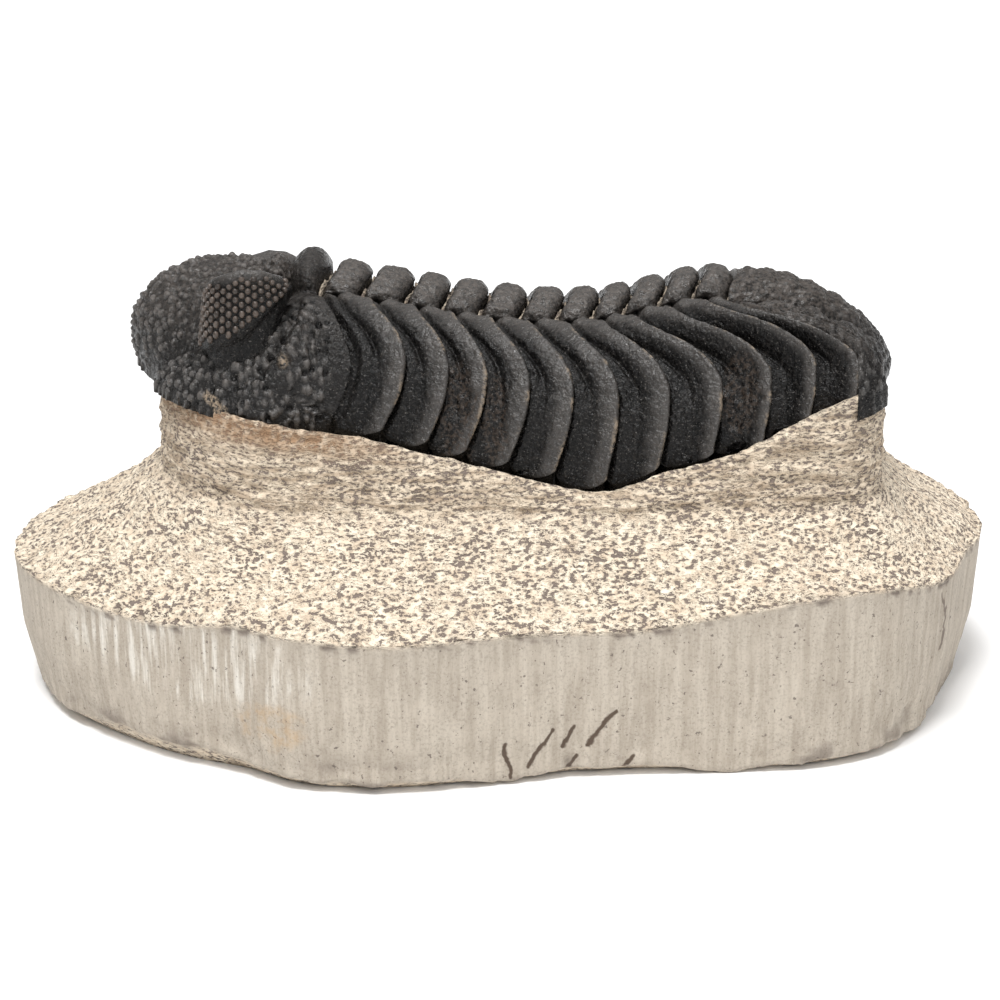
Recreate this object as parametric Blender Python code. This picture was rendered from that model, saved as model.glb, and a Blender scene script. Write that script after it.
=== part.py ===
"""A trilobite of the genus Phacops, its back arched, on the limestone that it was found in.

+X runs from its head to its tail and +Z is up. The origin is the middle of the stone's footprint, on the
surface that the stone stands on. The sizes below are in millimetres. A place on the trilobite is given by x,
by t, the distance from its middle plane, and by z.
"""

import math

import bmesh
import bpy
import numpy as np

MM = 0.001

# Driving dimensions
MIDDLE_Y = 1.5  # where the trilobite's middle plane stands
LEAN = 0.15  # how much it leans away from the side in view, as rise over run
LEAN_HEIGHT = 7.0  # above the stone, where the lean is full
GAP = 0.3  # between pieces that touch

# The back: the ring tops as (x, z), and the height of the stone under the shell as (x, z)
BACK_LINE = (
    (-11.0, 28.5), (-6.7, 27.8), (-2.0, 27.0), (3.0, 26.5),
    (7.5, 26.7), (11.9, 27.7), (14.2, 28.1), (15.8, 27.6),
)
FLOOR_LINE = ((-9.0, 19.4), (-3.0, 17.9), (2.0, 16.6), (6.4, 15.8), (10.0, 16.9), (15.0, 18.1))
HEAD_FLOOR_SLOPE = -0.13
TAIL_FLOOR_SLOPE = 0.33

# The joints between the plates, front to back: where each crosses the crest, how far its flank sweeps back
# from there, and how far back its tip ends
JOINT_CREST = (-11.0, -8.4, -5.6, -3.2, -0.7, 1.85, 4.3, 6.6, 8.7, 11.0, 13.2, 15.5)
JOINT_SWEEP = (1.9, 2.1, 2.0, 2.0, 2.2, 2.4, 2.8, 3.7, 4.9, 5.7, 6.3, 6.8)
JOINT_TIP = (0.2, 0.5, 0.6, 0.6, 0.8, 1.2, 2.1, 3.2, 4.5, 5.4, 6.1, 6.7)
JOINT_FORWARD = 0.8  # at the furrow beside the axis
SEGMENTS = len(JOINT_CREST) - 1

# Across the back
HALF_WIDTH_LINE = ((0, 13.2), (4, 13.5), (8, 13.3), (11, 12.2))  # by joint
AXIS_HALF = 4.5
AXIS_HEIGHT = 2.1
FULCRUM = 6.5  # where the flank begins to bend down
FULCRUM_RISE = 0.3
TIP_HEIGHT = 0.5
TIP_ROUNDING = 0.4
SHIELD_CLEARANCE = 0.4  # more room beside the head and tail at their corners
AXIS_SHARE = 0.32  # of the way across that the axis takes, and the level stretch beside it
LEVEL_SHARE = 0.42
RING_STEP = 1.3  # depth of the groove in front of each ring
FLANK_STEP = 0.6
FLANK_FURROW = 0.45
REAR_STEP = 0.35

# The head shield
HEAD_LENGTH = 12.9
HEAD_HALF_WIDTH = 13.3
HEAD_SQUARENESS = 2.2
CHEEK_HEIGHT = 5.0
CHEEK_REAR_RISE = 2.0
CORNER_INSET = 0.75  # of its rear corners from the first segment's tips
GLABELLA_CENTRE = (-18.1, 0.0, 23.4)
GLABELLA_RADII = (6.6, 6.8, 5.2)
GLABELLA_TAPER = 2.3
FRONT_RING_CENTRE = (-14.7, 0.0, 25.9)
FRONT_RING_RADII = (1.0, 4.2, 2.8)
NECK_RING_CENTRE = (-12.4, 0.0, 26.8)
NECK_RING_RADII = (1.55, 4.9, 2.4)
EYE_CENTRE = (-16.2, 8.0, 24.8)
EYE_RADII = (3.0, 3.1, 3.3)
EYE_TILT = 0.1
EYE_SQUARENESS = 3.2
LENS_PITCH = 0.75
LENS_RISE = 0.16
LENS_FILES = 9
LENS_ROWS = 4
LENS_ROW_PITCH = 0.82
LENS_MIDDLE = 0.7  # height of their middle over the eye's
LENS_FOOT = 0.5  # how far each is sunk in

# The tail shield
TAIL_LENGTH = 10.4
TAIL_HALF_WIDTH = 12.2
TAIL_SQUARENESS = 2.3
TAIL_LOWERING = 1.43
TAIL_RIBS = 4
TAIL_RINGS = 7
RIB_DEPTH = 0.18
TAIL_CLEARANCE = 0.2  # more room in front of its flanks

# The stone: its upper rim as (x, y, z), seen from above, clockwise from the tail end along the side in view
RIM = (
    (33.0, 1.5, 9.8), (30.7, -5.5, 10.2), (28.7, -11.0, 10.3), (26.7, -14.0, 10.8), (25.0, -16.0, 11.3),
    (21.5, -18.0, 11.6), (14.5, -19.0, 10.7), (8.5, -19.4, 9.7), (4.0, -20.0, 9.8), (0.0, -21.0, 9.9),
    (-7.8, -22.5, 9.8), (-13.4, -21.5, 10.1), (-16.8, -19.2, 10.0), (-21.0, -17.2, 9.4), (-26.0, -13.5, 9.4),
    (-30.0, -9.0, 9.6), (-32.6, -2.5, 9.4), (-33.0, 1.5, 9.2), (-31.3, 9.6, 9.2), (-28.3, 13.9, 9.4),
    (-24.3, 18.5, 9.8), (-12.0, 21.8, 10.0), (0.0, 22.5, 10.0), (14.0, 21.8, 10.2), (23.0, 20.3, 10.2),
    (28.0, 17.8, 10.0), (31.0, 13.0, 9.9), (32.8, 7.5, 9.8),
)
PEDESTAL_ENDS = (-22.6, 25.0)
PEDESTAL_SQUARENESS = (2.2, 2.6)
PEDESTAL_HALF_WIDTH = 13.75
TOE_Z = 15.3
TOE_OUT = 1.0
SIDE_INSET = 0.2
END_INSET = 1.4
LIFTED_EDGE = 0.9  # how far the broken lower edge stands off the ground at the head's near corner
LIFTED_TOWARDS = -2.55
CHIP = 0.6
FOOT_INSET = 1.4
STONE_COLUMNS = 76
CRUMBLE = 0.2


def smoothstep(low, high, value):
    u = np.clip((value - low) / (high - low), 0.0, 1.0)
    return u * u * (3 - 2 * u)


def bump(value, middle, width):
    return np.exp(-(((value - middle) / width) ** 2))


def curve_through(points, at):
    """The smooth curve through (x, value) points, read at the numbers given."""
    xs, values = np.array(points, float).T
    slopes = np.gradient(values, xs)
    at = np.clip(at, xs[0], xs[-1])
    i = np.clip(np.searchsorted(xs, at) - 1, 0, len(xs) - 2)
    width = xs[i + 1] - xs[i]
    u = (at - xs[i]) / width
    ends = values[i] * (1 + 2 * u) * (1 - u) ** 2 + values[i + 1] * (3 - 2 * u) * u * u
    return ends + width * (slopes[i] * u * (1 - u) ** 2 - slopes[i + 1] * u * u * (1 - u))


def floor_z(x):
    """Height of the stone right under the shell."""
    head = FLOOR_LINE[0][1] + HEAD_FLOOR_SLOPE * (x - FLOOR_LINE[0][0])
    tail = FLOOR_LINE[-1][1] + TAIL_FLOOR_SLOPE * (x - FLOOR_LINE[-1][0])
    middle = curve_through(FLOOR_LINE, x)
    return np.where(x < FLOOR_LINE[0][0], head, np.where(x > FLOOR_LINE[-1][0], tail, middle))


def joint_x(joint, t, bend):
    """Where a joint runs. Joints are numbered from 0, with fractions between them. Bend is how far
    the flank has turned down, from 0 at its fulcrum to 1 at its tip."""
    crest, sweep, tip = (
        curve_through(tuple(enumerate(line)), joint) for line in (JOINT_CREST, JOINT_SWEEP, JOINT_TIP)
    )
    x = crest - JOINT_FORWARD * bump(t, AXIS_HALF, 2.0) * smoothstep(0.0, AXIS_HALF, t)
    return x + sweep * smoothstep(0.1, 0.65, bend) + (tip - sweep) * np.clip((bend - 0.6) / 0.4, 0, 1) ** 2


def flank_heights(joint):
    """Heights of the furrow beside the axis, of the fulcrum and of the tip."""
    furrow = curve_through(BACK_LINE, joint_x(joint, 0.0, 0.0)) - AXIS_HEIGHT
    half_width = curve_through(HALF_WIDTH_LINE, joint)
    tip = floor_z(joint_x(joint, half_width, 1.0)) + TIP_HEIGHT
    return furrow, furrow + FULCRUM_RISE, tip


def bend_share(across):
    """Bend at a share of the way across the back."""
    return np.clip((across - LEVEL_SHARE) / (1 - LEVEL_SHARE), 0, 1)


def section(joint, across):
    """The line across the back at a joint as t and z. Across is 0 on the crest and 1 at the tip."""
    furrow, fulcrum, tip = flank_heights(joint)
    half_width = curve_through(HALF_WIDTH_LINE, joint)
    arc = np.clip(across / AXIS_SHARE, 0, 1) * math.pi / 2
    level = np.clip((across - AXIS_SHARE) / (LEVEL_SHARE - AXIS_SHARE), 0, 1)
    bend = bend_share(across) * math.pi / 2
    t = AXIS_HALF * np.sin(arc) + (FULCRUM - AXIS_HALF) * level + (half_width - FULCRUM) * np.sin(bend)
    z = furrow + AXIS_HEIGHT * np.cos(arc) + FULCRUM_RISE * level - (fulcrum - tip) * (1 - np.cos(bend))
    return t, z


def tip_rounding(along, across):
    """How far the corners of a flank's tip are drawn in."""
    return TIP_ROUNDING * (2 * along - 1) ** 4 * smoothstep(0.8, 1.0, across)


def bend_at(joint, t):
    """Bend of a joint's edge at a distance from the middle plane."""
    across = np.linspace(LEVEL_SHARE, 1, 80)
    bend = bend_share(across)
    reach = section(joint, across)[0] - tip_rounding(0.0, across) - REAR_STEP * np.sin(bend * math.pi / 2)
    return np.interp(t + SHIELD_CLEARANCE * smoothstep(10.5, 11.5, t), np.maximum.accumulate(reach), bend)


def segment_relief(along, across):
    """How far a segment's surface stands in from the smooth back. Along is 0 in front and 1 at the rear."""
    ring = RING_STEP * (1 - smoothstep(0.05, 0.5, along))
    step = FLANK_STEP + (REAR_STEP - FLANK_STEP) * smoothstep(0.42, 0.62, across)
    flank = step * (1 - smoothstep(0.0, 0.3, along)) + FLANK_FURROW * bump(along, 0.45, 0.12)
    on_ring = 1 - smoothstep(0.26, 0.34, across)
    return on_ring * ring + (1 - on_ring) * flank + REAR_STEP * smoothstep(0.85, 1.0, along)


def segment_surface(index, along, across):
    """x, t and z on the top of a segment."""
    joint = index + along
    step = 1e-3
    t, z = section(joint, across)
    t_after, z_after = section(joint, np.minimum(across + step, 1.0))
    t_before, z_before = section(joint, np.maximum(across - step, 0.0))
    run, rise = t_after - t_before, z_after - z_before
    length = np.hypot(run, rise)
    depth = segment_relief(along, across)
    t = t + rise / length * depth * smoothstep(0.0, 0.1, across)
    z = z - run / length * depth
    t = t - tip_rounding(along, across)
    gap = np.where(along == 0, GAP / 2, np.where(along == 1, -GAP / 2, 0.0))
    return joint_x(joint, t, bend_share(across)) + gap, t, z


def flank_distance(joint, t, z):
    """Below 0 inside the cross-section at a joint, beside the axis."""
    _, fulcrum, tip = flank_heights(joint)
    out = np.maximum(t - FULCRUM, 0) / (curve_through(HALF_WIDTH_LINE, joint) - FULCRUM)
    return (np.hypot(out, np.maximum(z - tip, 0) / (fulcrum - tip)) - 1) * (fulcrum - tip)


def ellipsoid(x, t, z, centre, radii):
    """Below 0 inside an ellipsoid, and about the distance from it in millimetres."""
    offsets = [(value - middle) / radius for value, middle, radius in zip((x, t, z), centre, radii)]
    return (np.sqrt(sum(offset**2 for offset in offsets)) - 1) * min(radii)


def joined(first, second, blend):
    """The union of two such distances, filleted over a width."""
    near = np.maximum(blend - np.abs(first - second), 0) / blend
    return np.minimum(first, second) - near * near * blend / 4


def eye_distance(x, t, z):
    offset_x, offset_t = (x - EYE_CENTRE[0]) / EYE_RADII[0], (t - EYE_CENTRE[1]) / EYE_RADII[1]
    offset_z = (z - EYE_CENTRE[2] - EYE_TILT * (x - EYE_CENTRE[0])) / EYE_RADII[2]
    around = np.hypot(offset_x, offset_t) ** EYE_SQUARENESS
    return ((around + np.abs(offset_z) ** EYE_SQUARENESS) ** (1 / EYE_SQUARENESS) - 1) * EYE_RADII[0]


def head_distance(x, t, z, straight_x):
    """Below 0 inside the head shield. Its rear edge is straight in the space of straight_x."""
    back = np.minimum(x - JOINT_CREST[0], 0) / HEAD_LENGTH
    plan = np.abs(back) ** HEAD_SQUARENESS + (t / HEAD_HALF_WIDTH) ** HEAD_SQUARENESS
    plan = plan ** (1 / HEAD_SQUARENESS)
    height = CHEEK_HEIGHT + CHEEK_REAR_RISE * smoothstep(-16.0, -11.5, x)
    above = np.maximum(z - floor_z(x), 0) / height
    cheek = ((plan**2.4 + above**2.2) ** (1 / 2.3) - 1) * CHEEK_HEIGHT
    rear = flank_distance(0.0, t, z) + REAR_STEP + CORNER_INSET * smoothstep(9.0, 12.0, t)
    cheek = cheek + (rear - cheek) * smoothstep(-4.5, 0.0, straight_x - JOINT_CREST[0])
    narrowing = 1 - GLABELLA_TAPER / GLABELLA_RADII[1] * smoothstep(-18.5, -13.5, x)
    glabella = ellipsoid(x, t / narrowing, z, GLABELLA_CENTRE, GLABELLA_RADII)
    furrow = 0.35 * bump(cheek, glabella, 0.9)
    rear_edge = joint_x(0.0, t, bend_at(0.0, t))
    border = 0.25 * bump(rear_edge - x, 2.4, 0.6) * smoothstep(5.0, 6.5, t) * (1 - smoothstep(9.5, 12.0, t))
    distance = joined(cheek, glabella, 0.8) + furrow + border
    distance = joined(distance, ellipsoid(x, t, z, FRONT_RING_CENTRE, FRONT_RING_RADII), 0.3)
    return joined(distance, ellipsoid(x, t, z, NECK_RING_CENTRE, NECK_RING_RADII), 0.4)


def tail_distance(x, t, z):
    """Below 0 inside the tail shield, in a space where its front edge is straight."""
    back = np.clip((x - JOINT_CREST[-1]) / TAIL_LENGTH, 0, 0.999)
    narrowing = (1 - back**TAIL_SQUARENESS) ** (1 / TAIL_SQUARENESS)
    lowering = (1 - back**TAIL_LOWERING) ** (1 / TAIL_LOWERING)
    samples = np.linspace(0, 1, 200)
    section_t, section_z = section(float(SEGMENTS), samples)
    over_floor = section_z - floor_z(joint_x(float(SEGMENTS), section_t, bend_share(samples)))
    top = lowering * np.interp(t / narrowing, section_t, over_floor, right=-1.0)
    outer = np.clip(t / TAIL_HALF_WIDTH, 0, 0.999) ** TAIL_SQUARENESS
    rear = back / np.maximum((1 - outer) ** (1 / TAIL_SQUARENESS), 0.01)
    ribs = RIB_DEPTH * (1 - np.cos(2 * math.pi * TAIL_RIBS * rear)) * (1 - smoothstep(0.7, 0.95, rear))
    rings = RIB_DEPTH * (1 - np.cos(2 * math.pi * TAIL_RINGS * back**0.8)) * (1 - smoothstep(0.8, 0.95, back))
    on_axis = 1 - smoothstep(-0.4, 0.4, t - AXIS_HALF * (1 - 0.75 * back))
    return z - top + on_axis * rings + (1 - on_axis) * ribs


def shield_grid(rows, columns, forward, distance, front_x, warp):
    """Points of a shield's top, each the outermost on a ray from low in the middle of its joint."""
    outward, side = np.meshgrid(np.linspace(0, 1, rows), np.linspace(-1, 1, columns), indexing="ij")
    flat_x = outward * np.sqrt(1 - side**2 / 2)
    flat_y = side * np.sqrt(1 - outward**2 / 2)
    lean = np.hypot(flat_x, flat_y)
    angle = lean * math.pi / 2
    spread = np.sin(angle) / np.maximum(lean, 1e-9)
    ray_x, ray_y, ray_z = forward * flat_x * spread, flat_y * spread, np.cos(angle)

    def point(reach):
        straight_x, t = front_x + ray_x * reach, np.abs(ray_y) * reach
        x = warp(straight_x, t)
        return x, t, floor_z(x) + TIP_HEIGHT + ray_z * reach, straight_x

    reaches = np.linspace(18, 1, 69)
    inside = np.array([distance(*point(np.full(lean.shape, reach))) < 0 for reach in reaches])
    first = inside.argmax(axis=0)
    low, high = reaches[first], reaches[np.maximum(first - 1, 0)]
    for _ in range(14):
        middle = (low + high) / 2
        within = distance(*point(middle)) < 0
        low, high = np.where(within, middle, low), np.where(within, high, middle)
    x, t, z, _ = point(low)
    return np.stack([x, np.sign(side) * t, z], axis=-1)


def to_world(points):
    """Millimetres about the trilobite's middle plane to metres, with the whole animal leaning to one side."""
    x, y, z = np.moveaxis(np.asarray(points, float), -1, 0)
    z = z - LEAN * y * smoothstep(0.0, LEAN_HEIGHT, z - floor_z(x))
    return np.stack([x, y + MIDDLE_Y, z], axis=-1) * MM


def material(name, colour, roughness):
    made = bpy.data.materials.new(name)
    made.use_nodes = True
    shader = made.node_tree.nodes["Principled BSDF"]
    shader.inputs["Base Color"].default_value = (*colour, 1.0)
    shader.inputs["Roughness"].default_value = roughness
    shader.inputs["Metallic"].default_value = 0.0
    return made


def add_object(name, bm, finish, parent):
    bmesh.ops.recalc_face_normals(bm, faces=bm.faces)
    mesh = bpy.data.meshes.new(name)
    bm.to_mesh(mesh)
    bm.free()
    mesh.shade_smooth()
    mesh.set_sharp_from_angle(angle=math.radians(50))
    made = bpy.data.objects.new(name, mesh)
    mesh.materials.append(finish)
    bpy.context.scene.collection.objects.link(made)
    made.parent = parent
    return made


def loft(loops):
    """A closed body through loops of points, with a flat cap on each end."""
    bm = bmesh.new()
    rings = [[bm.verts.new(point) for point in loop] for loop in loops]
    count = len(rings[0])
    for ring, after in zip(rings, rings[1:]):
        for i in range(count):
            j = (i + 1) % count
            bm.faces.new((ring[i], ring[j], after[j], after[i]))
    bm.faces.new(rings[0])
    bm.faces.new(rings[-1])
    return bm


def segment(index, finish, parent):
    """One thoracic segment: a loft from tip to tip."""
    along = np.array([0.0, 0.2, 0.45, 0.75, 1.0])
    ring_across = np.linspace(0, AXIS_SHARE, 5)
    flank_across = np.linspace(LEVEL_SHARE, 1, 7)
    half = np.concatenate([ring_across, [(AXIS_SHARE + LEVEL_SHARE) / 2], flank_across])
    stations = [(-1, across) for across in half[:0:-1]] + [(1, across) for across in half]
    loops = []
    for side, across in stations:
        x, t, z = segment_surface(index, along, np.full(along.shape, across))
        top = np.stack([x, side * t, z], axis=-1)
        below = top[[-1, 0]]
        below[:, 2] = floor_z(below[:, 0])
        loops.append(to_world(np.concatenate([top, below])))
    return add_object(f"thorax_segment_{index + 1:02d}", loft(loops), finish, parent)


def shield(points):
    """A closed body from a grid of points on its top, whose edge is drawn down to the stone."""
    bm = bmesh.new()
    rows, columns = points.shape[:2]
    grid = [[bm.verts.new(point) for point in row] for row in to_world(points)]
    for i in range(rows - 1):
        for j in range(columns - 1):
            bm.faces.new((grid[i][j], grid[i][j + 1], grid[i + 1][j + 1], grid[i + 1][j]))
    edge = [e for e in bm.edges if e.is_boundary]
    skirt = bmesh.ops.extrude_edge_only(bm, edges=edge)["geom"]
    for vert in skirt:
        if isinstance(vert, bmesh.types.BMVert):
            vert.co.z = float(floor_z(np.array(vert.co.x / MM))) * MM
    bmesh.ops.holes_fill(bm, edges=[e for e in bm.edges if e.is_boundary], sides=0)
    return bm


def eye_towers():
    """Both eyes without their lenses, each a sphere drawn out into a drum with a rounded, sloping top."""
    bm = bmesh.new()
    for side in (-1, 1):
        sphere = bmesh.ops.create_uvsphere(bm, u_segments=16, v_segments=10, radius=1.0)["verts"]
        for vert in sphere:
            x, y, z = vert.co
            scale = (math.hypot(x, y) ** EYE_SQUARENESS + abs(z) ** EYE_SQUARENESS) ** (-1 / EYE_SQUARENESS)
            x, y, z = (value * scale * radius for value, radius in zip((x, y, z), EYE_RADII))
            place = (EYE_CENTRE[0] + x, side * EYE_CENTRE[1] + y, EYE_CENTRE[2] + z + EYE_TILT * x)
            vert.co = to_world(place)
    return bm


def lens_places():
    """Middle and outward direction of each lens of the eye on the near side, in a slanting lattice."""
    for file in range(LENS_FILES):
        angle = (file - (LENS_FILES - 1) / 2) * LENS_PITCH / EYE_RADII[0]
        out = np.array([math.sin(angle), math.cos(angle)])
        for row in range(LENS_ROWS):
            height = (row - (LENS_ROWS - 1) / 2 + 0.5 * (file % 2) - 0.25) * LENS_ROW_PITCH
            z = EYE_CENTRE[2] + LENS_MIDDLE + height
            low, high = 0.5, 5.0
            for _ in range(20):
                reach = (low + high) / 2
                x, t = EYE_CENTRE[0] + out[0] * reach, EYE_CENTRE[1] + out[1] * reach
                inside = eye_distance(x, t, z) < 0
                low, high = (reach, high) if inside else (low, reach)
            yield np.array([x, t, z]), np.array([out[0], out[1], 0.0])


def eye_lenses():
    """The lenses of both eyes as small five-sided domes, sunk into the eye."""
    bm = bmesh.new()
    sides = 5
    for place, out in lens_places():
        for side in (-1, 1):
            mirror = np.array([1, side, 1])
            middle, normal = place * mirror, out * mirror
            right = np.cross(normal, (0, 0, 1))
            corners = []
            for depth, radius in ((-LENS_FOOT, 0.4), (0.02, 0.34)):
                for i in range(sides):
                    turn = 2 * math.pi * i / sides
                    arm = right * math.cos(turn) + np.array([0, 0, 1]) * math.sin(turn)
                    corners.append(middle + normal * depth + arm * radius * LENS_PITCH)
            corners.append(middle + normal * LENS_RISE)
            verts = [bm.verts.new(point) for point in to_world(corners)]
            foot, brow, top = verts[:sides], verts[sides:-1], verts[-1]
            bm.faces.new(foot)
            for i in range(sides):
                j = (i + 1) % sides
                bm.faces.new((foot[i], foot[j], brow[j], brow[i]))
                bm.faces.new((brow[i], brow[j], top))
    return bm


def cephalon(finish, parent):
    """The head shield: glabella, cheeks, eyes and neck ring, grown as one plate."""
    front = JOINT_CREST[0]

    def warp(x, t):
        joint = joint_x(0.0, t, bend_at(0.0, t))
        return x + (joint - front) * (1 - smoothstep(0.0, 6.0, front - x)) - GAP / 2

    points = shield_grid(14, 35, -1, head_distance, front, warp)
    head = add_object("cephalon", shield(points), finish, parent)
    for name, bm in (("eye_tower_shapes", eye_towers()), ("eye_lens_shapes", eye_lenses())):
        shapes = add_object(name, bm, finish, parent)
        shapes.hide_render = True
        shapes.display_type = "WIRE"
        union = head.modifiers.new(name, "BOOLEAN")
        union.operation = "UNION"
        union.object = shapes
    return head


def pygidium(finish, parent):
    """The tail shield: rings and ribs grown as one plate."""
    front = JOINT_CREST[-1]

    def warp(x, t):
        joint = joint_x(float(SEGMENTS), t, bend_at(float(SEGMENTS), t))
        room = GAP / 2 + TAIL_CLEARANCE * smoothstep(6.0, 8.0, t)
        return x + (joint - front) * (1 - (x - front) / TAIL_LENGTH) + room

    def distance(x, t, z, straight_x):
        return tail_distance(straight_x, t, z - floor_z(x))

    points = shield_grid(16, 27, 1, distance, front, warp)
    return add_object("pygidium", shield(points), finish, parent)


def pedestal_half_width(x):
    """Half the width of the stone right under the shell's edge."""
    head = np.clip((-11.0 - x) / (-11.0 - PEDESTAL_ENDS[0]), 0, 1)
    tail = np.clip((x - 16.0) / (PEDESTAL_ENDS[1] - 16.0), 0, 1)
    width = PEDESTAL_HALF_WIDTH - 1.0 * smoothstep(8.0, 20.0, x)
    for end, squareness in zip((head, tail), PEDESTAL_SQUARENESS):
        width = width * (1 - end**squareness) ** (1 / squareness)
    return width


def rim_at(angle):
    """Distance from the middle and height of the stone's rim, in a direction seen from above."""
    rim = np.array(RIM)
    turns = np.arctan2(rim[:, 1], rim[:, 0]) % (2 * math.pi)
    order = np.argsort(turns)
    turns, reach, height = turns[order], np.hypot(rim[:, 0], rim[:, 1])[order], rim[order, 2]
    wrapped = np.concatenate([turns - 2 * math.pi, turns, turns + 2 * math.pi])
    angle = angle % (2 * math.pi)
    return [curve_through(np.stack([wrapped, np.tile(line, 3)], axis=-1), angle) for line in (reach, height)]


def stone_loops():
    """Rings of the stone from the top of its pedestal to its foot, each as an array of x, y and z."""
    chance = np.random.default_rng(11)
    turn = np.linspace(0, 2 * math.pi, STONE_COLUMNS, endpoint=False)
    middle = sum(PEDESTAL_ENDS) / 2
    half_length = (PEDESTAL_ENDS[1] - PEDESTAL_ENDS[0]) / 2
    top_x = middle + half_length * np.cos(turn)
    top_y = np.sign(np.sin(turn)) * pedestal_half_width(top_x)
    top = np.stack([top_x, top_y + MIDDLE_Y, floor_z(top_x) - GAP], axis=-1)
    toe_out = TOE_OUT * np.abs(np.sin(turn))
    toe = top + np.stack([0 * turn, np.sign(np.sin(turn)) * toe_out, TOE_Z - top[:, 2]], axis=-1)
    flank = top * 0.45 + toe * 0.55
    flank[:, 2] += 0.4
    angle = np.arctan2(toe[:, 1], toe[:, 0])
    reach, height = rim_at(angle)
    outward = np.stack([np.cos(angle), np.sin(angle)], axis=-1)

    def ring(inset, z):
        return np.concatenate([outward * (reach - inset)[:, None], np.stack([z], axis=-1)], axis=-1)

    rim = ring(CRUMBLE * chance.random(STONE_COLUMNS), height)
    slope = []
    for share, fallen in ((0.3, 0.42), (0.65, 0.76)):
        line = toe * (1 - share) + rim * share
        uneven = CRUMBLE * (chance.random(STONE_COLUMNS) - 0.5)
        line[:, 2] = toe[:, 2] + (rim[:, 2] - toe[:, 2]) * fallen + uneven
        slope.append(line)
    inset = SIDE_INSET + (END_INSET - SIDE_INSET) * np.abs(np.cos(angle)) ** 6
    edge_z = LIFTED_EDGE * bump(angle, LIFTED_TOWARDS, 0.5) + CHIP * chance.random(STONE_COLUMNS) ** 2 + 0.05
    edge = ring(inset + CRUMBLE * chance.random(STONE_COLUMNS), edge_z)
    brow = ring(0.1 + 0 * angle, height - 0.7)
    side = ring(inset * 0.3, height * 0.5)
    foot = ring(inset + FOOT_INSET, 0 * angle)
    return [top, flank, toe, *slope, rim, brow, side, edge, foot]


def strip_cap(bm, ring):
    """Closes a ring of points with strips from side to side. Its first point is at one end."""
    count = len(ring)
    for i in range(count // 2):
        corners = (ring[i], ring[i + 1], ring[count - i - 1], ring[-i])
        bm.faces.new(tuple(dict.fromkeys(corners)))


def matrix(finish, parent):
    """The stone: a pedestal under the trilobite on a slab with sawn sides and a broken lower edge."""
    loops = stone_loops()
    bm = loft([loop * MM for loop in loops])
    bm.verts.ensure_lookup_table()
    bm.faces.ensure_lookup_table()
    bm.faces.remove(bm.faces[-2])
    strip_cap(bm, list(bm.verts)[:STONE_COLUMNS])
    return add_object("matrix", bm, finish, parent)


def main():
    for old in list(bpy.data.objects):
        bpy.data.objects.remove(old, do_unlink=True)
    limestone = material("limestone", (0.62, 0.53, 0.42), 0.95)
    fossil = material("fossil", (0.035, 0.033, 0.031), 0.45)
    specimen = bpy.data.objects.new("trilobite_on_matrix", None)
    bpy.context.scene.collection.objects.link(specimen)
    matrix(limestone, specimen)
    cephalon(fossil, specimen)
    for index in range(SEGMENTS):
        segment(index, fossil, specimen)
    pygidium(fossil, specimen)


main()
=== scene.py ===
"""The looks of a fossil trilobite of the genus Phacops on its limestone, with its light and camera.

Sizes are in millimetres until to_world turns them into metres. A place on the trilobite is given by x, by t,
the distance from its middle plane, and by z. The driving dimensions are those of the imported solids, but for
the ones that a heading or comment names as the scene's own.
"""

import math

import bmesh
import bpy
import numpy as np
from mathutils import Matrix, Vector


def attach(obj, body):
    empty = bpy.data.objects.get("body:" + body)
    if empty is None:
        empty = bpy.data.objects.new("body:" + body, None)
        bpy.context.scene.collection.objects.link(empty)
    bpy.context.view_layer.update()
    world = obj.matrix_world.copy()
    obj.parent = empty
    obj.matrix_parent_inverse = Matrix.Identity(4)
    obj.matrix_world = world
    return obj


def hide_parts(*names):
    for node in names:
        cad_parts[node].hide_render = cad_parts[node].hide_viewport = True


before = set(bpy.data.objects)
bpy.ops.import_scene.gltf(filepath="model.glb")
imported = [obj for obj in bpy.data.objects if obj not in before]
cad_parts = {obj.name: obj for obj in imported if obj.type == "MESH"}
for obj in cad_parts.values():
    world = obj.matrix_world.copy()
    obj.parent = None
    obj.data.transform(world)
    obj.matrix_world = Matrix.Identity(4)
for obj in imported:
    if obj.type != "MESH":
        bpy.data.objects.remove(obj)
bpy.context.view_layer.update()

MM = 0.001

# The trilobite's back, as in the solids
MIDDLE_Y = 1.5
LEAN = 0.15
LEAN_HEIGHT = 7.0
GAP = 0.3
BACK_LINE = (
    (-11.0, 28.5), (-6.7, 27.8), (-2.0, 27.0), (3.0, 26.5),
    (7.5, 26.7), (11.9, 27.7), (14.2, 28.1), (15.8, 27.6),
)
FLOOR_LINE = ((-9.0, 19.4), (-3.0, 17.9), (2.0, 16.6), (6.4, 15.8), (10.0, 16.9), (15.0, 18.1))
HEAD_FLOOR_SLOPE = -0.13
TAIL_FLOOR_SLOPE = 0.33
JOINT_CREST = (-11.0, -8.4, -5.6, -3.2, -0.7, 1.85, 4.3, 6.6, 8.7, 11.0, 13.2, 15.5)
JOINT_SWEEP = (1.9, 2.1, 2.0, 2.0, 2.2, 2.4, 2.8, 3.7, 4.9, 5.7, 6.3, 6.8)
JOINT_TIP = (0.2, 0.5, 0.6, 0.6, 0.8, 1.2, 2.1, 3.2, 4.5, 5.4, 6.1, 6.7)
JOINT_FORWARD = 0.8
SEGMENTS = len(JOINT_CREST) - 1
HALF_WIDTH_LINE = ((0, 13.2), (4, 13.5), (8, 13.3), (11, 12.2))
AXIS_HALF = 4.5
AXIS_HEIGHT = 2.1
FULCRUM = 6.5
FULCRUM_RISE = 0.3
TIP_HEIGHT = 0.5
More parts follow.
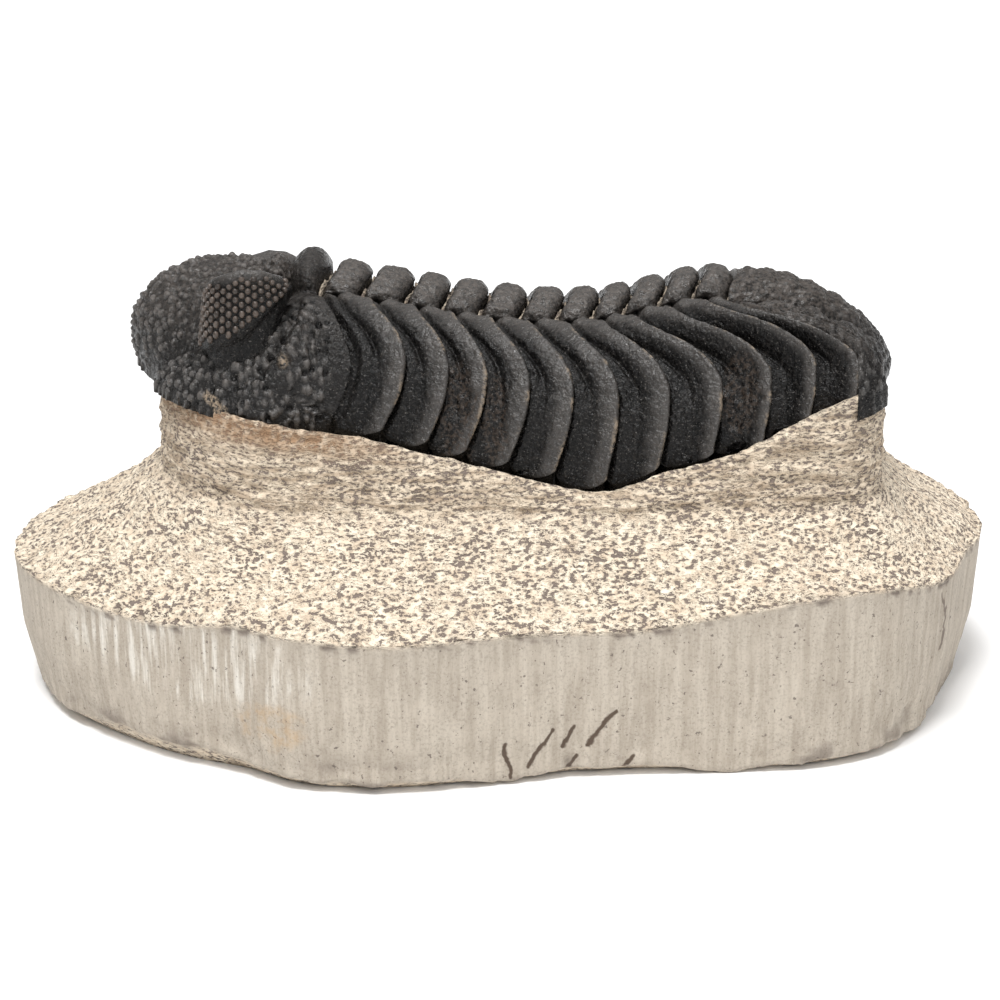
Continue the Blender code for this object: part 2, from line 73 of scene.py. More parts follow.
TIP_ROUNDING = 0.4
REAR_STEP = 0.35
SHIELD_CLEARANCE = 0.4
AXIS_SHARE = 0.32
LEVEL_SHARE = 0.42

# The head shield, as in the solids
HEAD_LENGTH = 12.9
HEAD_HALF_WIDTH = 13.3
HEAD_SQUARENESS = 2.2
CHEEK_HEIGHT = 5.0
CHEEK_REAR_RISE = 2.0
CORNER_INSET = 0.75
GLABELLA_CENTRE = (-18.1, 0.0, 23.4)
GLABELLA_RADII = (6.6, 6.8, 5.2)
GLABELLA_TAPER = 2.3
FRONT_RING_CENTRE = (-14.7, 0.0, 25.9)
FRONT_RING_RADII = (1.0, 4.2, 2.8)
NECK_RING_CENTRE = (-12.4, 0.0, 26.8)
NECK_RING_RADII = (1.55, 4.9, 2.4)
EYE_CENTRE = (-16.2, 8.0, 24.8)
EYE_RADII = (3.0, 3.1, 3.3)

# The tail shield, as in the solids
TAIL_LENGTH = 10.4
TAIL_HALF_WIDTH = 12.2
TAIL_SQUARENESS = 2.3
TAIL_LOWERING = 1.43
TAIL_RIBS = 4
TAIL_RINGS = 7
RIB_DEPTH = 0.18
TAIL_CLEARANCE = 0.2

# The stone, as in the solids
RIM = (
    (33.0, 1.5, 9.8), (30.7, -5.5, 10.2), (28.7, -11.0, 10.3), (26.7, -14.0, 10.8), (25.0, -16.0, 11.3),
    (21.5, -18.0, 11.6), (14.5, -19.0, 10.7), (8.5, -19.4, 9.7), (4.0, -20.0, 9.8), (0.0, -21.0, 9.9),
    (-7.8, -22.5, 9.8), (-13.4, -21.5, 10.1), (-16.8, -19.2, 10.0), (-21.0, -17.2, 9.4), (-26.0, -13.5, 9.4),
    (-30.0, -9.0, 9.6), (-32.6, -2.5, 9.4), (-33.0, 1.5, 9.2), (-31.3, 9.6, 9.2), (-28.3, 13.9, 9.4),
    (-24.3, 18.5, 9.8), (-12.0, 21.8, 10.0), (0.0, 22.5, 10.0), (14.0, 21.8, 10.2), (23.0, 20.3, 10.2),
    (28.0, 17.8, 10.0), (31.0, 13.0, 9.9), (32.8, 7.5, 9.8),
)
PEDESTAL_ENDS = (-22.6, 25.0)
PEDESTAL_HALF_WIDTH = 13.75
TOE_Z = 15.3
TOE_OUT = 1.0
SIDE_INSET = 0.2
END_INSET = 1.4
LIFTED_EDGE = 0.9
LIFTED_TOWARDS = -2.55
FOOT_INSET = 1.4

# Where the scene departs from the solids
PEDESTAL_SQUARENESS = (2.2, 4.5)  # at the head and the tail, where the solid has 2.2 and 2.6
RING_DEPTH = 0.08  # of the tail's rings, which are as deep as its ribs on the solid
STONE_RISE = 0.6  # how far the stone laps up over the foot of the shell
STONE_TAIL_RISE = 1.1  # how much further beside the tail

# Fineness of the meshes
ALONG_STEPS = 44
ACROSS_STEPS = 160
HEAD_GRID = ((200, 420))
TAIL_GRID = ((150, 240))
STONE_COLUMNS = 720


def smoothstep(low, high, value):
    u = np.clip((value - low) / (high - low), 0.0, 1.0)
    return u * u * (3 - 2 * u)


def bump(value, middle, width):
    return np.exp(-(((value - middle) / width) ** 2))


def curve_through(points, at):
    """The smooth curve through (x, value) points, read at the numbers given."""
    xs, values = np.array(points, float).T
    slopes = np.gradient(values, xs)
    at = np.clip(at, xs[0], xs[-1])
    i = np.clip(np.searchsorted(xs, at) - 1, 0, len(xs) - 2)
    width = xs[i + 1] - xs[i]
    u = (at - xs[i]) / width
    ends = values[i] * (1 + 2 * u) * (1 - u) ** 2 + values[i + 1] * (3 - 2 * u) * u * u
    return ends + width * (slopes[i] * u * (1 - u) ** 2 - slopes[i + 1] * u * u * (1 - u))


# Randomness that is the same each run

def lattice(cell, seed):
    """A random number from 0 to 1 for each cell of whole numbers."""
    x, y, z = np.moveaxis(cell, -1, 0)
    mixed = (x * 374761393 + y * 668265263 + z * 1440670441 + seed * 1274126177) & 0xFFFFFFFF
    mixed = ((mixed ^ (mixed >> 13)) * 1274126177) & 0xFFFFFFFF
    return ((mixed ^ (mixed >> 16)) & 0xFFFFFF) / 0xFFFFFF


def noise(points, pitch, seed):
    """Smooth random values from -1 to 1 that change over a pitch, which may differ by axis."""
    scaled = points / np.asarray(pitch, float)
    cell = np.floor(scaled).astype(np.int64)
    part = scaled - cell
    ease = part * part * (3 - 2 * part)
    total = np.zeros(points.shape[:-1])
    for corner in np.ndindex(2, 2, 2):
        weight = np.prod(np.where(corner, ease, 1 - ease), axis=-1)
        total += weight * lattice(cell + corner, seed)
    return 2 * total - 1


def rough_noise(points, pitch, seed, octaves=3):
    """Noise with finer and weaker noise on it."""
    pitch = np.asarray(pitch, float)
    total = sum(noise(points, pitch / 2**i, seed + i) / 2**i for i in range(octaves))
    return total / (2 - 2 ** (1 - octaves))


def grains(points, pitch, seed):
    """Distance to the nearest of scattered points, in pitches, and that point's own random number."""
    scaled = points / np.asarray(pitch, float)
    cell = np.floor(scaled).astype(np.int64)
    nearest = np.full(points.shape[:-1], 9.0)
    chance = np.zeros(points.shape[:-1])
    for corner in np.ndindex(3, 3, 3):
        home = cell + corner - 1
        place = home + 0.15 + 0.7 * np.stack([lattice(home, seed + k) for k in range(3)], axis=-1)
        away = np.linalg.norm(scaled - place, axis=-1)
        closer = away < nearest
        nearest = np.where(closer, away, nearest)
        chance = np.where(closer, lattice(home, seed + 3), chance)
    return nearest, chance


def domes(points, pitch, seed, radius=0.62):
    """Heights from 0 to 1 of small rounded grains of uneven size."""
    away, chance = grains(points, pitch, seed)
    return np.maximum(1 - (away / (radius * (0.7 + 0.3 * chance))) ** 2, 0) * (0.5 + 0.5 * chance)


# The trilobite's large forms, as in the solids

def floor_z(x):
    """Height of the stone right under the shell."""
    head = FLOOR_LINE[0][1] + HEAD_FLOOR_SLOPE * (x - FLOOR_LINE[0][0])
    tail = FLOOR_LINE[-1][1] + TAIL_FLOOR_SLOPE * (x - FLOOR_LINE[-1][0])
    middle = curve_through(FLOOR_LINE, x)
    return np.where(x < FLOOR_LINE[0][0], head, np.where(x > FLOOR_LINE[-1][0], tail, middle))


def joint_x(joint, t, bend):
    """Where a joint runs. Joints are numbered from 0, and a fraction lies between two of them. Bend is how
    far the flank has turned down, from 0 at its fulcrum to 1 at its tip."""
    crest, sweep, tip = (
        curve_through(tuple(enumerate(line)), joint) for line in (JOINT_CREST, JOINT_SWEEP, JOINT_TIP)
    )
    x = crest - JOINT_FORWARD * bump(t, AXIS_HALF, 2.0) * smoothstep(0.0, AXIS_HALF, t)
    return x + sweep * smoothstep(0.1, 0.65, bend) + (tip - sweep) * np.clip((bend - 0.6) / 0.4, 0, 1) ** 2


def flank_heights(joint):
    """Heights of the furrow beside the axis, of the fulcrum and of the tip."""
    furrow = curve_through(BACK_LINE, joint_x(joint, 0.0, 0.0)) - AXIS_HEIGHT
    half_width = curve_through(HALF_WIDTH_LINE, joint)
    tip = floor_z(joint_x(joint, half_width, 1.0)) + TIP_HEIGHT
    return furrow, furrow + FULCRUM_RISE, tip


def bend_share(across):
    """Bend at a share of the way across the back."""
    return np.clip((across - LEVEL_SHARE) / (1 - LEVEL_SHARE), 0, 1)


def section(joint, across):
    """The line across the back at a joint as t and z, across from 0 on the crest to 1 at the tip."""
    furrow, fulcrum, tip = flank_heights(joint)
    half_width = curve_through(HALF_WIDTH_LINE, joint)
    arc = np.clip(across / AXIS_SHARE, 0, 1) * math.pi / 2
    level = np.clip((across - AXIS_SHARE) / (LEVEL_SHARE - AXIS_SHARE), 0, 1)
    bend = bend_share(across) * math.pi / 2
    t = AXIS_HALF * np.sin(arc) + (FULCRUM - AXIS_HALF) * level + (half_width - FULCRUM) * np.sin(bend)
    z = furrow + AXIS_HEIGHT * np.cos(arc) + FULCRUM_RISE * level - (fulcrum - tip) * (1 - np.cos(bend))
    return t, z


def tip_rounding(along, across):
    """How far the corners of a flank's tip are drawn in."""
    return TIP_ROUNDING * (2 * along - 1) ** 4 * smoothstep(0.8, 1.0, across)


def bend_at(joint, t):
    """Bend of a joint's edge at a distance from the middle plane."""
    across = np.linspace(LEVEL_SHARE, 1, 80)
    bend = bend_share(across)
    reach = section(joint, across)[0] - tip_rounding(0.0, across) - REAR_STEP * np.sin(bend * math.pi / 2)
    return np.interp(t + SHIELD_CLEARANCE * smoothstep(10.5, 11.5, t), np.maximum.accumulate(reach), bend)


def flank_distance(joint, t, z):
    """Below 0 inside the cross-section at a joint, beside the axis."""
    _, fulcrum, tip = flank_heights(joint)
    out = np.maximum(t - FULCRUM, 0) / (curve_through(HALF_WIDTH_LINE, joint) - FULCRUM)
    return (np.hypot(out, np.maximum(z - tip, 0) / (fulcrum - tip)) - 1) * (fulcrum - tip)


def ellipsoid(x, t, z, centre, radii):
    """Below 0 inside an ellipsoid, and about the distance from it in millimetres."""
    offsets = [(value - middle) / radius for value, middle, radius in zip((x, t, z), centre, radii)]
    return (np.sqrt(sum(offset**2 for offset in offsets)) - 1) * min(radii)


def joined(first, second, blend):
    """The union of two such distances, filleted over a width."""
    near = np.maximum(blend - np.abs(first - second), 0) / blend
    return np.minimum(first, second) - near * near * blend / 4


def cheek_and_glabella(x, t, z, straight_x):
    back = np.minimum(x - JOINT_CREST[0], 0) / HEAD_LENGTH
    sideways = (t / HEAD_HALF_WIDTH) ** HEAD_SQUARENESS
    plan = (np.abs(back) ** HEAD_SQUARENESS + sideways) ** (1 / HEAD_SQUARENESS)
    height = CHEEK_HEIGHT + CHEEK_REAR_RISE * smoothstep(-16.0, -11.5, x)
    above = np.maximum(z - floor_z(x), 0) / height
    cheek = ((plan**2.4 + above**2.2) ** (1 / 2.3) - 1) * CHEEK_HEIGHT
    rear = flank_distance(0.0, t, z) + REAR_STEP + CORNER_INSET * smoothstep(9.0, 12.0, t)
    cheek = cheek + (rear - cheek) * smoothstep(-4.5, 0.0, straight_x - JOINT_CREST[0])
    narrowing = 1 - GLABELLA_TAPER / GLABELLA_RADII[1] * smoothstep(-18.5, -13.5, x)
    glabella = ellipsoid(x, t / narrowing, z, GLABELLA_CENTRE, GLABELLA_RADII)
    return cheek, glabella


def head_distance(x, t, z, straight_x):
    """Below 0 inside the head shield. Its rear edge is straight in the space of straight_x."""
    cheek, glabella = cheek_and_glabella(x, t, z, straight_x)
    furrow = 0.35 * bump(cheek, glabella, 0.9)
    rear_edge = joint_x(0.0, t, bend_at(0.0, t))
    border = 0.25 * bump(rear_edge - x, 2.4, 0.6) * smoothstep(5.0, 6.5, t) * (1 - smoothstep(9.5, 12.0, t))
    distance = joined(cheek, glabella, 0.8) + furrow + border
    distance = joined(distance, ellipsoid(x, t, z, FRONT_RING_CENTRE, FRONT_RING_RADII), 0.3)
    return joined(distance, ellipsoid(x, t, z, NECK_RING_CENTRE, NECK_RING_RADII), 0.4)


def tail_distance(x, t, z):
    """Below 0 inside the tail shield, in a space where its front edge is straight. Its rings are lower than the
    solid's, and its ribs fade out at the sides, where the solid's do not."""
    back = np.clip((x - JOINT_CREST[-1]) / TAIL_LENGTH, 0, 0.999)
    narrowing = (1 - back**TAIL_SQUARENESS) ** (1 / TAIL_SQUARENESS)
    lowering = (1 - back**TAIL_LOWERING) ** (1 / TAIL_LOWERING)
    samples = np.linspace(0, 1, 200)
    section_t, section_z = section(float(SEGMENTS), samples)
    over_floor = section_z - floor_z(joint_x(float(SEGMENTS), section_t, bend_share(samples)))
    top = lowering * np.interp(t / narrowing, section_t, over_floor, right=-1.0)
    outer = np.clip(t / TAIL_HALF_WIDTH, 0, 0.999) ** TAIL_SQUARENESS
    rear = back / np.maximum((1 - outer) ** (1 / TAIL_SQUARENESS), 0.01)
    ribs = RIB_DEPTH * (1 - np.cos(2 * math.pi * TAIL_RIBS * rear))
    ribs = ribs * (1 - smoothstep(0.7, 0.95, rear)) * smoothstep(11.5, 9.0, t)
    rings = RING_DEPTH * (1 - np.cos(2 * math.pi * TAIL_RINGS * back**0.8))
    rings = rings * (1 - smoothstep(0.8, 0.95, back))
    on_axis = 1 - smoothstep(-0.4, 0.4, t - AXIS_HALF * (1 - 0.75 * back))
    return z - top + on_axis * rings + (1 - on_axis) * ribs


def shield_grid(rows, columns, forward, distance, front_x, warp):
    """Points of a shield's top, each the outermost one on a ray from low in the middle of its joint."""
    outward, side = np.meshgrid(np.linspace(0, 1, rows), np.linspace(-1, 1, columns), indexing="ij")
    flat_x = outward * np.sqrt(1 - side**2 / 2)
    flat_y = side * np.sqrt(1 - outward**2 / 2)
    lean = np.hypot(flat_x, flat_y)
    angle = lean * math.pi / 2
    spread = np.sin(angle) / np.maximum(lean, 1e-9)
    ray_x, ray_y, ray_z = forward * flat_x * spread, flat_y * spread, np.cos(angle)

    def point(reach):
        straight_x, t = front_x + ray_x * reach, np.abs(ray_y) * reach
        x = warp(straight_x, t)
        return x, t, floor_z(x) + TIP_HEIGHT + ray_z * reach, straight_x

    reaches = np.linspace(18, 1, 69)
    inside = np.array([distance(*point(np.full(lean.shape, reach))) < 0 for reach in reaches])
    first = inside.argmax(axis=0)
    low, high = reaches[first], reaches[np.maximum(first - 1, 0)]
    for _ in range(14):
        middle = (low + high) / 2
        within = distance(*point(middle)) < 0
        low, high = np.where(within, middle, low), np.where(within, high, middle)
    x, t, z, _ = point(low)
    return np.stack([x, np.sign(side) * t, z], axis=-1)


def grid_normals(points, outward_from):
    """The outward direction at each point of a grid."""
    normals = np.cross(np.gradient(points, axis=0), np.gradient(points, axis=1))
    normals /= np.maximum(np.linalg.norm(normals, axis=-1, keepdims=True), 1e-9)
    facing = np.sign(np.sum(normals * (points - outward_from), axis=-1).mean())
    return normals * facing


# Making pieces

def to_world(points):
    """Millimetres about the trilobite's middle plane to metres, with the whole animal leaning to one side."""
    x, y, z = np.moveaxis(np.asarray(points, float), -1, 0)
    z = z - LEAN * y * smoothstep(0.0, LEAN_HEIGHT, z - floor_z(x))
    return np.stack([x, y + MIDDLE_Y, z], axis=-1) * MM


def piece(name, points, faces, finish, nodes, layers):
    """A piece of the scene from points, faces and named values at its points."""
    mesh = bpy.data.meshes.new(name)
    mesh.from_pydata(np.asarray(points).tolist(), [], faces)
    bm = bmesh.new()
    bm.from_mesh(mesh)
    bmesh.ops.recalc_face_normals(bm, faces=bm.faces)
    bm.to_mesh(mesh)
    bm.free()
    for layer, values in layers.items():
        attribute = mesh.attributes.new(layer, "FLOAT", "POINT")
        attribute.data.foreach_set("value", np.ascontiguousarray(values, np.float32).ravel())
    mesh.shade_smooth()
    mesh.materials.append(finish)
    made = bpy.data.objects.new(name, mesh)
    bpy.context.scene.collection.objects.link(made)
    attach(made, "root")
    for node in nodes:
        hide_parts(node)
    return made


def strip_faces(rows, columns, closed):
    """Four-sided faces between the points of a grid, row by row, whose columns may close on themselves."""
    count = columns if closed else columns - 1
    faces = []
    for i in range(rows - 1):
        for j in range(count):
            k = (j + 1) % columns
            faces.append((i * columns + j, i * columns + k, (i + 1) * columns + k, (i + 1) * columns + j))
    return faces


# The thorax

LIP = 0.5  # how far the rear edge of a flank stands over the next one
RING_STEP = 1.4  # depth of the groove between rings
WEAR_MARKS = (  # x, z and half sizes, on the side in view
    (-2.6, 20.0, 1.3, 3.6), (-0.4, 20.0, 1.0, 2.6), (15.1, 21.8, 1.2, 2.2),
)


def segment_relief(index, along, across):
    """How far a segment's surface stands in from the smooth back. Along is 0 in front and 1 at the rear."""
    on_ring = 1 - smoothstep(0.27, 0.33, across)
    swell = np.clip(1 - np.abs((along - 0.54) / 0.5) ** 3.0, 0, 1)
    ring = RING_STEP * (1 - np.sqrt(swell))
    ring = ring + bump(along, 0.6, 0.3) * (0.12 * bump(across, 0.19, 0.02) - 0.12 * bump(across, 0.25, 0.035))
    hollow = (0.55 + 0.6 * smoothstep(5, 10, index)) * np.clip(1 - ((along - 0.3) / 0.64) ** 2, 0, 1)
    hollow = hollow * smoothstep(0.34, 0.5, across) + 0.55 * (1 - smoothstep(0.0, 0.2, along))
    furrow_at = 0.40 + 0.10 * smoothstep(0.32, 0.7, across)
    furrow = 0.3 * (1 - smoothstep(0.66, 0.86, across)) * bump(along, furrow_at, 0.075)
    fall = 0.25 * smoothstep(0.9, 1.0, along) ** 2
    knob = 0.3 * bump(across, 0.365, 0.03) * bump(along, 0.72, 0.2)
    dip = 0.3 * bump(across, 0.322, 0.016)
    return on_ring * ring + (1 - on_ring) * (hollow + furrow + fall - knob) + dip


def segment_points(index):
    """Points of one thoracic segment as rows along it, and values for its materials."""
    along = np.linspace(0, 1, ALONG_STEPS)
    under_shift = np.array([0.95, 0.6, -0.1])
    under_depth = np.array([0.16, 0.32, 0.7])
    rows_along = np.concatenate([along, np.ones(3)])
    over = np.concatenate([smoothstep(0.75, 1.0, along), under_shift])
    under = np.concatenate([0 * along, under_depth])
    u = np.linspace(-1, 1, 2 * ACROSS_STEPS - 1)
    a, side = np.meshgrid(rows_along, u, indexing="ij")
    over, under = over[:, None], under[:, None]
    across = np.abs(side)
    across_bent = across * (1 - 0.035 * np.abs(2 * a - 1) ** 3 * smoothstep(0.8, 1.0, across))
    joint = index + a
    step = 1e-3
    t, z = section(joint, across_bent)
    t_after, z_after = section(joint, np.minimum(across_bent + step, 1.0))
    t_before, z_before = section(joint, np.maximum(across_bent - step, 0.0))
    run, rise = t_after - t_before, z_after - z_before
    length = np.maximum(np.hypot(run, rise), 1e-9)
    on_flank = smoothstep(0.3, 0.42, across)
    relief = segment_relief(index, a, across)
    bend = bend_share(across_bent)
    smooth = np.stack([joint_x(joint, t, bend), np.sign(side) * t, z], axis=-1)
    marks = [
        bump(smooth[..., 0], mark_x, half_x) * bump(z, mark_z, half_z)
        for mark_x, mark_z, half_x, half_z in WEAR_MARKS
    ]
    in_view = side < 0
    wear = smoothstep(0.35, 0.6, in_view * np.max(marks, axis=0) + 0.25 * rough_noise(smooth, 1.2, 71))
    seeded = smooth + (0, 0, 40.0 * index)
    relief = relief + 0.07 * rough_noise(seeded, 1.0, 21) + 0.045 * noise(seeded, 0.28, 25)
    grain = 0.07 * noise(seeded, (1.0, 0.3, 0.24), 31) + 0.07 * domes(seeded, 0.36, 35)
    relief = relief - (1 - on_flank) * grain
    relief = relief - on_flank * 0.05 * domes(seeded, 0.4, 37)
    rubbed = 0.1 + 0.25 * rough_noise(seeded, (0.45, 0.45, 0.7), 41)
    relief = relief + wear * rubbed * smoothstep(1.0, 0.88, across)
    depth = relief + under * (0.5 + 0.5 * on_flank)
    t = t + rise / length * depth * smoothstep(0.0, 0.1, across)
    z = z - run / length * depth
    front_gap = GAP / 2 if index else -GAP
    gap = np.where(a == 0, front_gap, np.where(a == 1, -GAP / 2, 0.0))
    x = joint_x(joint, t, bend) + gap + LIP * over * on_flank * (1 - 0.5 * smoothstep(0.85, 1.0, across))
    points = np.stack([x, np.sign(side) * t, z], axis=-1)
    lip = smoothstep(0.9, 0.97, a) * on_flank * (under < 0.2)
    crust_and_glint = lip * smoothstep(0.0, 0.3, rough_noise(seeded, (0.6, 0.6, 1.0), 51))
    # Painted light: crest paints a highlight on the raised rings and ridges and leaves the hollows dark as
    # painted shade; dust lightens the top of the back, partly as brown dust and partly as a painted highlight
    # where the back faces up.
    height = smoothstep(-3.5, -0.5, z - curve_through(BACK_LINE, joint_x(joint, 0.0, 0.0)))
    crest = 0.65 * smoothstep(0.45, 0.05, relief)
    dust_and_highlight = np.maximum(height * smoothstep(0.8, 0.1, relief), 0.4 * crest)
    return points, dict(dust_and_highlight=dust_and_highlight, crust_and_glint=crust_and_glint, wear=wear, crest=crest)


def segment(index, finish):
    points, layers = segment_points(index)
    below = points[[-1, 0]].copy()
    below[..., 2] = floor_z(below[..., 0])
    loop = np.concatenate([points, below])
    rows, stations = loop.shape[:2]
    faces = strip_faces(rows, stations, False)
    last = (rows - 1) * stations
    faces += [(last + j, last + j + 1, j + 1, j) for j in range(stations - 1)]
    for end in (0, stations - 1):
        faces.append(tuple(i * stations + end for i in range(rows)))
    layers = {name: np.concatenate([values, np.zeros((2, stations))]) for name, values in layers.items()}
    name = f"thorax_segment_{index + 1:02d}"
    piece(f"{name}_shell", to_world(loop).reshape(-1, 3), faces, finish, [name], layers)


def joint_stone(finish):
    """The slivers of stone left in the joints between the rings."""
    points, faces = [], []
    stations = 60
    u = np.linspace(-1, 1, stations)
    for joint in range(SEGMENTS + 1):
        t, z = section(float(joint), np.abs(u) * AXIS_SHARE * 1.12)
        x = joint_x(float(joint), t, 0.0) + 0.02
        place = np.stack([x, np.sign(u) * t, z], axis=-1)
        uneven = 0.5 * rough_noise(place + (0, 0, 9.0 * joint), 0.6, 61)
        crest = z - 0.75 - uneven - 0.3 * (1 - np.abs(u)) ** 2
        wave = 0.08 * noise(place, 0.5, 67)
        half = 0.07 + 0.04 * noise(place, 0.4, 69)
        first = sum(len(part) for part in points)
        for shift, top in ((-half, 2.0), (-half, 0.12), (0 * half, 0.0), (half, 0.1), (half, 2.0)):
            points.append(np.stack([x + shift + wave, np.sign(u) * t, crest - top], axis=-1))
        sliver = strip_faces(5, stations, False)
        faces += [tuple(first + corner for corner in face) for face in sliver]
        last = first + 4 * stations
        faces += [(last + j, last + j + 1, first + j + 1, first + j) for j in range(stations - 1)]
        for end in (0, stations - 1):
            faces.append(tuple(first + i * stations + end for i in range(5)))
    points = np.concatenate(points)
    none = np.zeros(len(points))
    layers = dict(side=none, wall=none + 0.5, rust=none, shade=none + 0.45)
    piece("stone_in_the_joints", to_world(points), faces, finish, [], layers)


# The head and tail

def shield_piece(name, points, finish, node, layers):
    """A closed body from a grid of points on its top, with its edge drawn down to the stone."""
    rows, columns = points.shape[:2]
    edge = [j for j in range(columns)]
    edge += [i * columns + columns - 1 for i in range(1, rows)]
    edge += [(rows - 1) * columns + j for j in range(columns - 2, -1, -1)]
    edge += [i * columns for i in range(rows - 2, 0, -1)]
    flat = points.reshape(-1, 3)
    skirt = flat[edge].copy()
    skirt[:, 2] = floor_z(skirt[:, 0])
    middle = skirt.mean(axis=0, keepdims=True)
    middle[0, 2] = floor_z(middle[0, 0])
    first = len(flat)
    count = len(edge)
    faces = strip_faces(rows, columns, False)
    for i in range(count):
        j = (i + 1) % count
        faces.append((edge[i], edge[j], first + j, first + i))
        faces.append((first + i, first + j, first + count))
    extra = np.zeros(count + 1)
    layers = {layer: np.concatenate([values.ravel(), extra]) for layer, values in layers.items()}
    every = np.concatenate([flat, skirt, middle])
    piece(name, to_world(every), faces, finish, [node], layers)


def cephalon(finish):
    """The head shield without its eyes."""
    front = JOINT_CREST[0]

    def warp(x, t):
        joint = joint_x(0.0, t, bend_at(0.0, t))
        return x + (joint - front) * (1 - smoothstep(0.0, 6.0, front - x)) - GAP / 2

    points = shield_grid(*HEAD_GRID, -1, head_distance, front, warp)
    normals = grid_normals(points, np.array([-16.0, 0.0, 20.0]))
    x, t, z = points[..., 0], np.abs(points[..., 1]), points[..., 2]
    cheek, glabella = cheek_and_glabella(x, t, z, x)
    on_glabella = smoothstep(0.3, -0.3, glabella - cheek) * smoothstep(-13.2, -14.2, x)
    on_cheek = smoothstep(0.2, 1.0, glabella - cheek)
    on_cheek = on_cheek * smoothstep(26.6, 24.8, z) * smoothstep(-10.2, -11.6, x)
    around_eye = np.hypot((x - EYE_CENTRE[0]) / EYE_RADII[0], (t - EYE_CENTRE[1]) / EYE_RADII[1])
    inner = smoothstep(0.0, 0.06, np.linspace(0, 1, HEAD_GRID[0]))[:, None]
    coarse = domes(points, 0.5, 101)
    fine = domes(points, 0.52, 111)
    elsewhere = (1 - on_glabella) * (1 - on_cheek)
    lift = on_glabella * 0.3 * coarse + on_cheek * 0.26 * fine + elsewhere * 0.06 * coarse
    lift = lift + 0.03 * rough_noise(points, 0.9, 121) + 0.015 * noise(points, 0.28, 127)
    away, _ = grains(points, 0.75, 131)
    pits = on_cheek * np.maximum(1 - (away / 0.33) ** 2, 0)
    lift = lift - 0.2 * pits
    outside = smoothstep(-20.0, -17.5, x) * (1 - on_glabella) * smoothstep(6.0, 8.5, t)
    outside = outside * smoothstep(1.5, 3.5, z - floor_z(x))
    lift = lift + outside * (0.35 * smoothstep(1.9, 1.15, around_eye) - 0.5 * bump(around_eye, 1.12, 0.09))
    points = points + normals * (lift * inner)[..., None]
    patch = bump(x, -17.8, 0.9) * bump(z + 0.5 * (x + 17.8), 21.3, 0.45) * (points[..., 1] < 0)
    patch = smoothstep(0.3, 0.5, patch + 0.35 * rough_noise(points, 0.7, 141))
    # A painted glint: a small pale spot on the cheek behind the eye, carried in the crust layer.
    glint = bump(x, -13.6, 0.25) * bump(z, 23.3, 0.2) * (points[..., 1] < 0)
    # Brown dust on the top of the head, with painted highlights on the tops of the tubercles and painted shade
    # in the pits; crest adds the same painted highlights and shade.
    dust_and_highlight = smoothstep(-6.0, -1.5, z - 28.5) * (0.3 + 0.3 * on_glabella)
    dust_and_highlight = np.clip(dust_and_highlight + 0.9 * on_glabella * coarse + 0.8 * on_cheek * fine - pits, 0, 1)
    crest = np.clip(0.12 + 1.5 * on_glabella * coarse + 1.5 * on_cheek * fine - 1.5 * pits, 0, 1)
    layers = dict(dust_and_highlight=dust_and_highlight, crust_and_glint=np.maximum(patch, glint), wear=0 * dust_and_highlight, crest=crest)
    shield_piece("cephalon_shell", points, finish, "cephalon", layers)


def pygidium(finish):
    """The tail shield."""
    front = JOINT_CREST[-1]

    def warp(x, t):
        joint = joint_x(float(SEGMENTS), t, bend_at(float(SEGMENTS), t))
        room = GAP / 2 + TAIL_CLEARANCE * smoothstep(6.0, 8.0, t)
        return x + (joint - front) * (1 - (x - front) / TAIL_LENGTH) + room

    def distance(x, t, z, straight_x):
        return tail_distance(straight_x, t, z - floor_z(x))

    points = shield_grid(*TAIL_GRID, 1, distance, front, warp)
    normals = grid_normals(points, np.array([17.0, 0.0, 20.0]))
    inner = smoothstep(0.0, 0.06, np.linspace(0, 1, TAIL_GRID[0]))[:, None]
    lift = 0.12 * domes(points, 0.45, 201)
    lift = lift + 0.07 * rough_noise(points, 0.9, 211) + 0.03 * noise(points, 0.3, 217)
    points = points + normals * (lift * inner)[..., None]
    z = points[..., 2]
    # Brown dust towards the top, partly a painted highlight where it faces up; crest is a painted highlight on
    # the raised grains.
    dust_and_highlight = smoothstep(-6.0, -1.5, z - 28.5)
    layers = dict(dust_and_highlight=dust_and_highlight, crust_and_glint=0 * dust_and_highlight, wear=0 * dust_and_highlight, crest=smoothstep(0.0, 0.12, lift))
    shield_piece("pygidium_shell", points, finish, "pygidium", layers)


# The eyes

EYE_COLUMNS = 96
EYE_ROWS = 26
LENS_PITCH = 0.5
LENS_LEAN = 0.16  # how much narrower the eye is at the top of its lenses than at their foot
LENS_FIELD = (
    (-180, 24.0, 26.9), (-90, 23.8, 26.9), (-45, 24.2, 27.6), (0, 24.7, 28.2), (30, 25.8, 28.1),
    (52, 26.7, 27.8), (75, 27.1, 27.6), (100, 27.0, 27.5), (180, 24.0, 26.9),
)  # lowest and highest place of the lenses, by angle in degrees


def eye_wall(angle, height):
    """A point of the eye's side. Angle grows from 0 outward to the rear, height is 0 to 1 over the lenses."""
    field = np.array(LENS_FIELD)
    turn = (np.degrees(angle) + 180) % 360 - 180
    low = np.interp(turn, field[:, 0], field[:, 1])
    high = np.interp(turn, field[:, 0], field[:, 2])
    shrink = 1 - LENS_LEAN * max(height, 0) - 0.13 * smoothstep(0.0, -0.12, height)
    round_x, round_t = np.sin(angle), np.cos(angle)
    stretch = (np.abs(round_x) ** 2.4 + np.abs(round_t) ** 2.4) ** (-1 / 2.4)
    x = EYE_CENTRE[0] + EYE_RADII[0] * round_x * stretch * shrink
    t = EYE_CENTRE[1] + EYE_RADII[1] * round_t * stretch * shrink
    z = low + (high - low) * height if height > 0 else low + 3.0 * height
    return np.stack([x, t, z], axis=-1)


